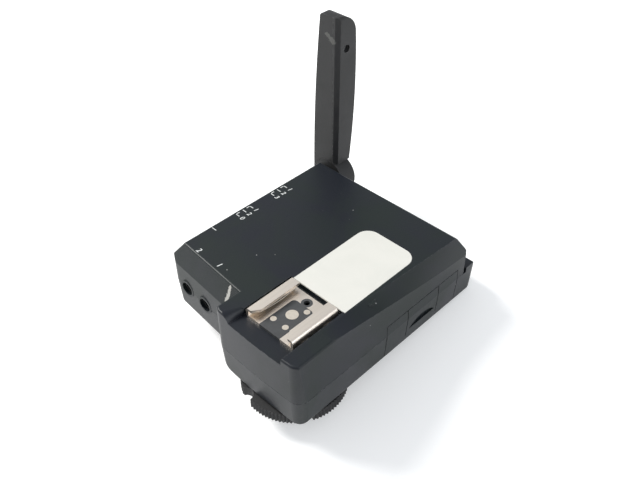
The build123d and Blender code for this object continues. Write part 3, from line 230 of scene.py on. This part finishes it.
def line_mark():
    """Mask round a straight line between two points, with a ragged border."""
    group, entry, leave = new_group(
        "line_mark",
        [("Place", VECTOR, None), ("From", VECTOR, None), ("To", VECTOR, None),
         ("Width", FLOAT, 0.0003), ("Ragged", FLOAT, 0.0), ("Break Up", FLOAT, 900.0)],
        [("Mask", FLOAT)])
    along = vector_node(group, "SUBTRACT", entry["To"], entry["From"])
    to_point = vector_node(group, "SUBTRACT", entry["Place"], entry["From"])
    share = math_node(
        group, "DIVIDE",
        vector_node(group, "DOT_PRODUCT", to_point, along, out="Value"),
        vector_node(group, "DOT_PRODUCT", along, along, out="Value"), clamp=True)
    nearest = put(group, "ShaderNodeVectorMath", {0: along}, operation="SCALE")
    group.links.new(share, nearest.inputs["Scale"])
    away = vector_node(group, "LENGTH",
                       vector_node(group, "SUBTRACT", to_point, nearest.outputs["Vector"]), out="Value")
    cloud = put(group, "ShaderNodeTexNoise", {
        "Vector": entry["Place"], "Scale": entry["Break Up"], "Detail": 4.0, "Roughness": 0.7})
    centred = math_node(group, "SUBTRACT", cloud.outputs["Fac"], 0.5)
    shift = math_node(group, "MULTIPLY", centred, entry["Ragged"])
    reach = math_node(group, "ADD", entry["Width"], math_node(group, "MULTIPLY", shift, entry["Width"]))
    inside = spread(group, math_node(group, "DIVIDE", away, reach), 1.0, 0.75)
    group.links.new(inside, leave["Mask"])
    return group


def dust_specks():
    """Mask of scattered small specks."""
    group, entry, leave = new_group(
        "dust_specks", [("Place", VECTOR, None), ("Spacing", FLOAT, 400.0), ("Share", FLOAT, 0.1)],
        [("Mask", FLOAT)])
    cells = put(group, "ShaderNodeTexVoronoi", {"Vector": entry["Place"], "Scale": entry["Spacing"]})
    pick = put(group, "ShaderNodeTexWhiteNoise", {"Vector": cells.outputs["Position"]},
               noise_dimensions="3D")
    chosen = math_node(group, "LESS_THAN", pick.outputs["Value"], entry["Share"])
    speck = spread(group, cells.outputs["Distance"], 0.1, 0.04)
    group.links.new(math_node(group, "MULTIPLY", chosen, speck), leave["Mask"])
    return group


def rolled_grain():
    """Streaks of rolled or brushed metal along one direction, as a height and a tone."""
    group, entry, leave = new_group(
        "rolled_grain",
        [("Place", VECTOR, None), ("Stretch", VECTOR, (1, 1, 1)), ("Grain", FLOAT, 1500.0)],
        [("Height", FLOAT), ("Streak", FLOAT)])
    place = vector_node(group, "MULTIPLY", entry["Place"], entry["Stretch"])
    fine = put(group, "ShaderNodeTexNoise", {
        "Vector": place, "Scale": entry["Grain"], "Detail": 5.0, "Roughness": 0.65})
    broad = put(group, "ShaderNodeTexNoise", {
        "Vector": place, "Scale": math_node(group, "MULTIPLY", entry["Grain"], 0.2), "Detail": 3.0})
    group.links.new(fine.outputs["Fac"], leave["Height"])
    group.links.new(spread(group, broad.outputs["Fac"], 0.35, 0.65), leave["Streak"])
    return group


SPARK = spark_texture()
DRIFT = tone_drift()
WORN = worn_edges()
LINE = line_mark()
DUST = dust_specks()
ROLLED = rolled_grain()


# ---- Materials ------------------------------------------------------------------------

class Finish:
    """One material, with its own Principled shader and the shared effects it takes."""

    def __init__(self, name, colour, roughness, metallic=0.0, specular=0.5, **plain):
        self.made = bpy.data.materials.new(name)
        self.made.use_nodes = True
        self.tree = self.made.node_tree
        self.tree.nodes.clear()
        end = self.tree.nodes.new("ShaderNodeOutputMaterial")
        self.shader = self.tree.nodes.new("ShaderNodeBsdfPrincipled")
        self.tree.links.new(self.shader.outputs[0], end.inputs["Surface"])
        self.place = self.tree.nodes.new("ShaderNodeTexCoord").outputs["Object"]
        self.shader.inputs["Metallic"].default_value = metallic
        self.shader.inputs["Specular IOR Level"].default_value = specular
        for socket, value in plain.items():
            self.shader.inputs[socket.replace("_", " ")].default_value = value
        self.colour = (*colour, 1.0)
        self.roughness = roughness
        self.height = None
        self.bump_depth = 0.0

    def effect(self, group, **inputs):
        made = self.tree.nodes.new("ShaderNodeGroup")
        made.node_tree = group
        self.tree.links.new(self.place, made.inputs["Place"])
        for label, value in inputs.items():
            socket = made.inputs[label.replace("_", " ")]
            if isinstance(value, bpy.types.NodeSocket):
                self.tree.links.new(value, socket)
            else:
                socket.default_value = value
        return made.outputs

    def drift(self, other, size):
        made = self.effect(DRIFT, Tone=self.colour, Other_Tone=(*other, 1.0), Size=size)
        self.colour = made["Colour"]
        return made["Cloud"]

    def cover(self, mask, colour=None, roughness=None):
        """Lays a colour and a roughness over what is there, where the mask says."""
        if colour is not None:
            self.colour = mix_colour(self.tree, mask, self.colour, (*colour, 1.0))
        if roughness is not None:
            made = self.tree.nodes.new("ShaderNodeMix")
            for i, value in enumerate((mask, self.roughness, roughness)):
                if isinstance(value, bpy.types.NodeSocket):
                    self.tree.links.new(value, made.inputs[(0, 2, 3)[i]])
                else:
                    made.inputs[(0, 2, 3)[i]].default_value = value
            self.roughness = made.outputs[0]

    def bump(self, height, depth):
        made = put(self.tree, "ShaderNodeBump", {"Height": height, "Distance": depth, "Strength": 1.0})
        if self.height is not None:
            self.tree.links.new(self.height, made.inputs["Normal"])
        self.height = made.outputs["Normal"]

    def done(self):
        for socket, value in (("Base Color", self.colour), ("Roughness", self.roughness)):
            if isinstance(value, bpy.types.NodeSocket):
                self.tree.links.new(value, self.shader.inputs[socket])
            else:
                self.shader.inputs[socket].default_value = value
        if self.height is not None:
            self.tree.links.new(self.height, self.shader.inputs["Normal"])
        return self.made


def at(x, y, z):
    return Vector((x, y, z)) * MM


def moulded_cover():
    """Satin black plastic of the two covers and the door, with handling wear and a painted highlight
    down the block's left face.
    """
    finish = Finish("moulded_black", (0.007, 0.009, 0.014), 0.40, specular=0.34)
    cloud = finish.drift((0.006, 0.011, 0.010), 38.0)
    finish.cover(cloud, roughness=0.47)
    grain = finish.effect(SPARK, Grain=2400.0)["Height"]
    finish.bump(grain, 0.00002)
    edges = finish.effect(WORN, Reach=0.0005, Break_Up=700.0, Amount=0.55)["Mask"]
    finish.cover(edges, (0.11, 0.11, 0.115), 0.5)
    specks = finish.effect(DUST, Spacing=330.0, Share=0.05)["Mask"]
    finish.cover(specks, (0.3, 0.3, 0.29), 0.8)
    scrape_and_highlight = None
    for start, stop, width in SCRAPE_AND_HIGHLIGHT:
        part = finish.effect(LINE, From=at(*start), To=at(*stop), Width=width * MM,
                             Ragged=2.6, Break_Up=1400.0)["Mask"]
        scrape_and_highlight = part if scrape_and_highlight is None else math_node(finish.tree, "MAXIMUM", scrape_and_highlight, part)
    # pale grey over a scrape and over a painted highlight down the block's left face
    finish.cover(scrape_and_highlight, (0.42, 0.41, 0.38), 0.38)
    finish.bump(scrape_and_highlight, -0.00008)
    return finish.done()


def plain_plastic(name, colour, roughness, grain=2600.0, depth=0.000015, wear=0.4,
                  worn=(0.12, 0.12, 0.12)):
    """Moulded black plastic of a small piece."""
    finish = Finish(name, colour, roughness)
    other = tuple(c * 0.7 for c in colour)
    cloud = finish.drift(other, 120.0)
    finish.cover(cloud, roughness=roughness + 0.08)
    finish.bump(finish.effect(SPARK, Grain=grain)["Height"], depth)
    edges = finish.effect(WORN, Reach=0.0003, Break_Up=900.0, Amount=wear)["Mask"]
    finish.cover(edges, worn, roughness)
    return finish.done()


def antenna_plastic():
    """Matte black of the blade, scuffed near the tip."""
    finish = Finish("antenna_matte", (0.016, 0.016, 0.017), 0.52, specular=0.4)
    cloud = finish.drift((0.021, 0.021, 0.021), 90.0)
    finish.cover(cloud, roughness=0.6)
    finish.bump(finish.effect(SPARK, Grain=2000.0)["Height"], 0.00002)
    edges = finish.effect(WORN, Reach=0.0005, Break_Up=800.0, Amount=0.6)["Mask"]
    finish.cover(edges, (0.10, 0.10, 0.10), 0.5)
    x1 = high("antenna_right_shell").x
    y0 = low("antenna_right_shell").y
    tip_z = high("antenna_right_shell").z
    scuff = finish.effect(LINE, From=at(x1 - 5.5, y0, tip_z - 7.0), To=at(x1 - 2.5, y0, tip_z - 9.0),
                          Width=1.1 * MM, Ragged=3.0, Break_Up=1100.0)["Mask"]
    finish.cover(scuff, (0.085, 0.085, 0.08), 0.6)
    return finish.done()


def nickel_sheet(name, colour, roughness, stretch, grain=1800.0, streak=(0.5, 0.46, 0.4)):
    """Plated sheet with rolled streaks and rubbed edges."""
    finish = Finish(name, colour, roughness, metallic=1.0)
    rolled = finish.effect(ROLLED, Stretch=stretch, Grain=grain)
    finish.cover(math_node(finish.tree, "MULTIPLY", rolled["Streak"], 0.5), streak, roughness + 0.12)
    finish.bump(rolled["Height"], 0.000006)
    edges = finish.effect(WORN, Reach=0.00025, Break_Up=900.0, Amount=0.7)["Mask"]
    finish.cover(edges, (0.9, 0.88, 0.84), 0.2)
    return finish.done()


def brushed_metal(name, colour, roughness, stretch=(1, 1, 1), grain=1600.0):
    """Plain small metal piece with fine grain."""
    finish = Finish(name, colour, roughness, metallic=1.0)
    rolled = finish.effect(ROLLED, Stretch=stretch, Grain=grain)
    finish.cover(rolled["Streak"], tuple(c * 0.8 for c in colour), roughness + 0.08)
    finish.bump(rolled["Height"], 0.000004)
    return finish.done()


def plate_finish():
    """Silver-grey plate with a fine even tooth and a pale rim."""
    finish = Finish("plate_silver", (0.62, 0.61, 0.565), 0.42)
    cloud = finish.drift((0.59, 0.585, 0.54), 70.0)
    finish.cover(cloud, roughness=0.48)
    finish.bump(finish.effect(SPARK, Grain=3200.0)["Height"], 0.000006)
    specks = finish.effect(DUST, Spacing=260.0, Share=0.04)["Mask"]
    finish.cover(specks, (0.30, 0.30, 0.29), 0.7)
    edges = finish.effect(WORN, Reach=0.0003, Break_Up=300.0, Amount=0.8)["Mask"]
    finish.cover(edges, (0.82, 0.82, 0.80), 0.3)
    return finish.done()


def board_finish():
    """Solder-masked board with the faint relief of its tracks."""
    finish = Finish("board_green", (0.010, 0.075, 0.028), 0.3)
    tracks = put(finish.tree, "ShaderNodeTexBrick", {
        "Vector": finish.place, "Scale": 260.0, "Mortar Size": 0.08, "Color1": (0, 0, 0, 1),
        "Color2": (0.2, 0.2, 0.2, 1), "Mortar": (1, 1, 1, 1)})
    finish.cover(tracks.outputs["Fac"], (0.02, 0.12, 0.045))
    finish.bump(tracks.outputs["Fac"], 0.00002)
    return finish.done()


def cell_finish():
    """Sleeved cell: dark sleeve, pale along its sharp edges."""
    finish = Finish("cell_sleeve", (0.02, 0.03, 0.05), 0.3)
    finish.drift((0.03, 0.04, 0.07), 90.0)
    finish.bump(finish.effect(SPARK, Grain=900.0)["Height"], 0.00001)
    edges = finish.effect(WORN, Reach=0.0006, Break_Up=200.0, Amount=0.9)["Mask"]
    finish.cover(edges, (0.55, 0.55, 0.56), 0.35)
    return finish.done()


def light_guide():
    finish = Finish("light_guide", (0.62, 0.66, 0.62), 0.2)
    finish.drift((0.55, 0.60, 0.56), 500.0)
    finish.bump(finish.effect(SPARK, Grain=3000.0)["Height"], 0.00001)
    return finish.done()


def print_white():
    finish = Finish("pad_print", (0.62, 0.63, 0.62), 0.5)
    finish.drift((0.5, 0.51, 0.5), 700.0)
    return finish.done()


COVER = moulded_cover()
FINISHES = {
    "top_cover": COVER,
    "bottom_cover": COVER,
    "battery_door": COVER,
    "name_plate": plate_finish(),
}
SMALL_BLACK = plain_plastic("moulded_small", (0.018, 0.018, 0.019), 0.45)
CONTROL = plain_plastic("control_satin", (0.030, 0.031, 0.032), 0.36)
INSULATOR = plain_plastic("insulator_dark", (0.050, 0.052, 0.055), 0.5, depth=0.00001, wear=0.2)
RING = plain_plastic("ring_dull", (0.016, 0.016, 0.017), 0.6, grain=1800.0, wear=0.5,
                     worn=(0.09, 0.09, 0.09))
ANTENNA = antenna_plastic()
NICKEL = nickel_sheet("nickel_shoe", (0.93, 0.84, 0.74), 0.34, (1, 0.06, 1), streak=(0.72, 0.65, 0.57))
LEAF = nickel_sheet("nickel_leaf", (0.78, 0.76, 0.73), 0.26, (1, 0.05, 1), 2600.0, (0.22, 0.20, 0.18))
GOLD = brushed_metal("contact_gold", (0.95, 0.86, 0.74), 0.36)
ZINC = brushed_metal("zinc_steel", (0.52, 0.52, 0.53), 0.36, (1, 0.2, 1))
ALLOY = brushed_metal("foot_alloy", (0.055, 0.055, 0.06), 0.45, (1, 0.1, 1))
BRASS = brushed_metal("turned_brass", (0.62, 0.46, 0.20), 0.32)
TINNED = brushed_metal("tinned_shell", (0.58, 0.58, 0.58), 0.28, (0.1, 1, 1))
COPPER = brushed_metal("copper_strip", (0.72, 0.40, 0.26), 0.34, (1, 1, 0.1))
CELL = cell_finish()
GREEN = board_finish()
GUIDE = light_guide()
PRINT = print_white()

for material, names in (
        (SMALL_BLACK, ("radio_module", "processor_chip", "test_switch", "mode_switch", "zone_switch",
                       "jack_socket_1", "jack_socket_2")),
        (CONTROL, ("test_button", "mode_slider", "zone_slider")),
        (INSULATOR, ("shoe_insulator", "foot_insulator")),
        (RING, ("lock_ring",)),
        (ANTENNA, ("antenna_hub", "antenna_left_shell", "antenna_right_shell")),
        (NICKEL, ("shoe_bracket",)),
        (LEAF, ("shoe_spring_left", "shoe_spring_right")),
        (GOLD, ("shoe_centre_contact", "shoe_small_contacts", "foot_contact_pins")),
        (ZINC, ("clamp_plate", "lock_pin", "foot_mount_plate", "foot_screws", "door_hinge_pin",
                "cover_screws", "antenna_screw", "antenna_pivot_washer", "antenna_pivot_screw",
                "battery_button_contacts", "battery_spring_contacts")),
        (ALLOY, ("foot_plate",)),
        (BRASS, ("thread_insert",)),
        (TINNED, ("usb_socket",)),
        (COPPER, ("antenna_element",)),
        (CELL, ("battery_cell_1", "battery_cell_2")),
        (GREEN, ("main_circuit_board",)),
        (GUIDE, ("status_led",))):
    for name in names:
        FINISHES[name] = material

for name, material in FINISHES.items():
    slots = nodes[name].data.materials
    slots.clear()
    slots.append(material)


# ---- Printed marks by the controls ----------------------------------------------------

def flat_mesh(name, outlines, z):
    """Thin plates from closed outlines in millimetres, their tops at a level."""
    verts = []
    faces = []
    for outline in outlines:
        start = len(verts)
        count = len(outline)
        verts += [at(x, y, z - PRINT_T) for x, y in outline]
        verts += [at(x, y, z) for x, y in outline]
        faces.append(tuple(start + i for i in reversed(range(count))))
        faces.append(tuple(start + count + i for i in range(count)))
        for i in range(count):
            j = (i + 1) % count
            faces.append((start + i, start + j, start + count + j, start + count + i))
    mesh = bpy.data.meshes.new(name)
    mesh.from_pydata([tuple(v) for v in verts], [], faces)
    made = bpy.data.objects.new(name, mesh)
    bpy.context.collection.objects.link(made)
    return made


def stroke(x0, y0, x1, y1, width=PRINT_STROKE):
    """Outline of a straight printed line."""
    along = Vector((x1 - x0, y1 - y0)).normalized() * width / 2
    side = Vector((-along.y, along.x))
    a = Vector((x0, y0)) - along
    b = Vector((x1, y1)) + along
    return [tuple(a - side), tuple(b - side), tuple(b + side), tuple(a + side)]


def bracket(y):
    """Bracket of a three-way slide switch: a prong for each position and a broken spine."""
    end = BRACKET_X + BRACKET_REACH
    step = SWITCH_STEP
    lines = [stroke(BRACKET_X, y + k * step, end, y + k * step) for k in (-1, 0, 1)]
    for side in (-1, 1):
        lines.append(stroke(BRACKET_X, y + side * step, BRACKET_X, y + side * step * 0.55))
    return lines


def digit(text, x, y, size=DIGIT_H):
    """A plain numeral as a mesh, lying on the top."""
    curve = bpy.data.curves.new("numeral", "FONT")
    curve.body = text
    curve.size = size * MM * 1.35
    curve.align_x = "CENTER"
    curve.align_y = "CENTER"
    curve.shear = 0.2
    curve.offset = 0.00004
    curve.extrude = PRINT_T * MM / 2
    drawn = bpy.data.objects.new("numeral", curve)
    bpy.context.collection.objects.link(drawn)
    bpy.context.view_layer.update()
    mesh = bpy.data.meshes.new_from_object(drawn.evaluated_get(bpy.context.evaluated_depsgraph_get()))
    bpy.data.objects.remove(drawn)
    mesh.transform(Matrix.Translation(at(x, y, TOP_Z + PRINT_T / 2)))
    made = bpy.data.objects.new("numeral", mesh)
    bpy.context.collection.objects.link(made)
    return made


def join(name, objects):
    """Several meshes as one object."""
    with bpy.context.temp_override(active_object=objects[0], selected_editable_objects=objects,
                                   selected_objects=objects):
        bpy.ops.object.join()
    objects[0].name = name
    objects[0].data.name = name
    return objects[0]


def control_print():
    """Brackets, ticks and plain numerals beside the controls and the sockets."""
    zone_y = middle("zone_slider").y
    mode_y = middle("mode_slider").y
    test_y = middle("test_button").y
    lines = bracket(zone_y) + bracket(mode_y)
    lines.append(stroke(BRACKET_X - 0.2, test_y - 1.6, BRACKET_X + BRACKET_REACH, test_y - 1.6))
    pieces = [flat_mesh("marks", lines, TOP_Z + PRINT_T)]
    for y, texts in ((zone_y, "123"), (mode_y, "120")):
        for k, text in enumerate(texts):
            pieces.append(digit(text, DIGIT_X, y + (1 - k) * SWITCH_STEP))
    for number, name in ((1, "jack_socket_1"), (2, "jack_socket_2")):
        pieces.append(digit(str(number), middle(name).x + 3.2, JACK_MARK_Y, DIGIT_H * 1.1))
    made = join("control_print", pieces)
    made.data.materials.clear()
    made.data.materials.append(PRINT)
    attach(made, "housing")


control_print()


# ---- Pieces grown by node trees ---------------------------------------------------------

def new_tree(name, inputs):
    """A geometry tree with named float inputs."""
    tree = bpy.data.node_groups.new(name, "GeometryNodeTree")
    tree.interface.new_socket("Geometry", in_out="INPUT", socket_type="NodeSocketGeometry")
    for label, value in inputs.items():
        tree.interface.new_socket(label, in_out="INPUT", socket_type=FLOAT).default_value = value
    tree.interface.new_socket("Geometry", in_out="OUTPUT", socket_type="NodeSocketGeometry")
    return tree, tree.nodes.new("NodeGroupInput").outputs, tree.nodes.new("NodeGroupOutput").inputs


def close_tree(tree, geometry, leave, material):
    """Ends a tree with real meshes and their material."""
    real = put(tree, "GeometryNodeRealizeInstances", {"Geometry": geometry})
    dressed = put(tree, "GeometryNodeSetMaterial", {"Geometry": real.outputs[0]})
    dressed.inputs["Material"].default_value = material
    tree.links.new(dressed.outputs[0], leave["Geometry"])


def grown(name, tree, points):
    """Runs a tree on points in metres and keeps the result as a plain mesh."""
    seed = bpy.data.meshes.new(name)
    seed.from_pydata([tuple(p) for p in points], [], [])
    made = bpy.data.objects.new(name, seed)
    bpy.context.collection.objects.link(made)
    modifier = made.modifiers.new("grow", "NODES")
    modifier.node_group = tree
    bpy.context.view_layer.update()
    mesh = bpy.data.meshes.new_from_object(made.evaluated_get(bpy.context.evaluated_depsgraph_get()))
    made.modifiers.remove(modifier)
    made.data = mesh
    return made


def thread_tree(radius, length):
    """Helical ridge that starts at each point and climbs."""
    tree, entry, leave = new_tree("thread_ridge", {
        "Radius": radius, "Pitch": THREAD_PITCH * MM, "Depth": THREAD_DEPTH * MM, "Length": length})
    turns = math_node(tree, "DIVIDE", entry["Length"], entry["Pitch"])
    spiral = put(tree, "GeometryNodeCurveSpiral", {
        "Resolution": 48, "Rotations": turns, "Height": entry["Length"],
        "Start Radius": entry["Radius"], "End Radius": entry["Radius"]})
    ridge = put(tree, "GeometryNodeCurvePrimitiveCircle", {"Resolution": 3, "Radius": entry["Depth"]})
    coil = put(tree, "GeometryNodeCurveToMesh", {
        "Curve": spiral.outputs["Curve"], "Profile Curve": ridge.outputs["Curve"], "Fill Caps": True})
    placed = put(tree, "GeometryNodeInstanceOnPoints", {
        "Points": entry["Geometry"], "Instance": coil.outputs["Mesh"]})
    close_tree(tree, placed.outputs["Instances"], leave, BRASS)
    return tree


def cross_tree(name, reach, turn):
    """Dark cross on each point: painted shade standing in for a screw's cross recess."""
    tree, entry, leave = new_tree(name, {"Reach": reach})
    reach_out = entry["Reach"]
    width = math_node(tree, "MULTIPLY", reach_out, CROSS_WIDTH)
    joined = tree.nodes.new("GeometryNodeJoinGeometry")
    for along, across in ((reach_out, width), (width, reach_out)):
        size = put(tree, "ShaderNodeCombineXYZ", {"X": along, "Y": across, "Z": CROSS_T * MM})
        arm = put(tree, "GeometryNodeMeshCube", {"Size": size.outputs[0]})
        tree.links.new(arm.outputs["Mesh"], joined.inputs[0])
    placed = put(tree, "GeometryNodeInstanceOnPoints", {
        "Points": entry["Geometry"], "Instance": joined.outputs[0], "Rotation": turn})
    # black here is painted shade: the dark cross stands in for the hollow recess
    close_tree(tree, placed.outputs["Instances"], leave, SMALL_BLACK)
    return tree


def tripod_thread():
    """Ridges of the thread in the underside."""
    centre = middle("thread_insert")
    start_z = low("thread_insert").z + THREAD_START + THREAD_DEPTH / 2
    tree = thread_tree(THREAD_R * MM, THREAD_TURNS * THREAD_PITCH * MM)
    made = grown("tripod_thread_ridge", tree, [at(centre.x, centre.y, start_z)])
    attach(made, "housing")


def antenna_screw_cross():
    """Painted shade of the cross recess in the head of the blade's screw: a thin dark cross on the
    head.
    """
    top = high("antenna_screw")
    centre = middle("antenna_screw")
    across = (top.z - low("antenna_screw").z) * CROSS_REACH
    tree = cross_tree("screw_cross", across * MM, (0.0, math.radians(90), 0.0))
    made = grown("antenna_screw_cross", tree, [at(top.x, centre.y, centre.z)])
    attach(made, "antenna")


tripod_thread()
antenna_screw_cross()


# ---- Floor, light and camera ----------------------------------------------------------

def floor_finish():
    """White floor that shows as background but keeps the shadow."""
    finish = Finish("floor_white", (0.80, 0.80, 0.80), 0.9, specular=0.0)
    tree = finish.tree
    finish.done()
    end = next(n for n in tree.nodes if n.type == "OUTPUT_MATERIAL")
    seen = put(tree, "ShaderNodeLightPath").outputs
    direct = math_node(tree, "ADD", seen["Is Camera Ray"], seen["Is Glossy Ray"], clamp=True)
    glow = put(tree, "ShaderNodeEmission", {"Color": (1.0, 1.0, 0.985, 1.0)})
    tree.links.new(math_node(tree, "MULTIPLY", direct, FLOOR_GLOW), glow.inputs["Strength"])
    both = put(tree, "ShaderNodeAddShader")
    tree.links.new(finish.shader.outputs[0], both.inputs[0])
    tree.links.new(glow.outputs[0], both.inputs[1])
    tree.links.new(both.outputs[0], end.inputs["Surface"])
    return finish.made


def stage_floor():
    """Floor through the foot's rear edge and the housing's rear edge, on which the unit leans."""
    foot_y = high("foot_plate").y
    foot_z = low("foot_plate").z
    rear_y = high("bottom_cover").y
    rear_z = low("bottom_cover").z
    slope = (rear_z - foot_z) / (rear_y - foot_y)
    turns = ((-1, -1), (1, -1), (1, 1), (-1, 1))
    corners = [(x * FLOOR_REACH, foot_y + y * FLOOR_REACH, foot_z + slope * y * FLOOR_REACH)
               for x, y in turns]
    mesh = bpy.data.meshes.new("floor")
    mesh.from_pydata([tuple(at(*c)) for c in corners], [], [(0, 1, 2, 3)])
    floor = bpy.data.objects.new("floor", mesh)
    bpy.context.collection.objects.link(floor)
    mesh.materials.append(floor_finish())


def soft_light(name, place, target, width, power, colour=(1, 1, 1)):
    lamp = bpy.data.lights.new(name, "AREA")
    lamp.shape = "DISK"
    lamp.size = width
    lamp.energy = power
    lamp.color = colour
    made = bpy.data.objects.new(name, lamp)
    made.location = place
    made.rotation_euler = (Vector(target) - Vector(place)).to_track_quat("-Z", "Y").to_euler()
    bpy.context.collection.objects.link(made)


def surroundings():
    """Pale room that fills the shadows and shows in the plated sheet."""
    world = bpy.data.worlds.new("pale_room")
    bpy.context.scene.world = world
    world.use_nodes = True
    tree = world.node_tree
    back = tree.nodes["Background"]
    back.inputs["Color"].default_value = (0.93, 0.96, 1.0, 1.0)
    seen = put(tree, "ShaderNodeLightPath").outputs["Is Camera Ray"]
    strength = put(tree, "ShaderNodeMapRange", {"Value": seen, "To Min": ROOM_LIGHT, "To Max": 1.0})
    tree.links.new(strength.outputs["Result"], back.inputs["Strength"])


def camera():
    back = Vector((math.sin(AZIMUTH) * math.cos(ELEVATION), -math.cos(AZIMUTH) * math.cos(ELEVATION),
                   math.sin(ELEVATION)))
    level = Vector((math.cos(AZIMUTH), math.sin(AZIMUTH), 0.0))
    upright = back.cross(level)
    right = level * math.cos(ROLL) + upright * math.sin(ROLL)
    up = upright * math.cos(ROLL) - level * math.sin(ROLL)
    turned = Matrix((right, up, back)).transposed().to_4x4()
    lens = bpy.data.cameras.new("camera")
    lens.lens = LENS
    lens.sensor_width = 36.0
    lens.clip_start = 0.01
    made = bpy.data.objects.new("camera", lens)
    made.matrix_world = Matrix.Translation(CAMERA_AT) @ turned
    bpy.context.collection.objects.link(made)
    bpy.context.scene.camera = made


stage_floor()
surroundings()
soft_light("window", (-0.75, -0.25, 0.75), STAGE_CENTRE, 0.45, 13.0, (1.0, 0.99, 0.96))
soft_light("fill", (0.7, 0.1, 0.5), STAGE_CENTRE, 0.6, 2.5, (0.90, 0.94, 1.0))
camera()
bpy.context.scene.view_settings.view_transform = "Standard"
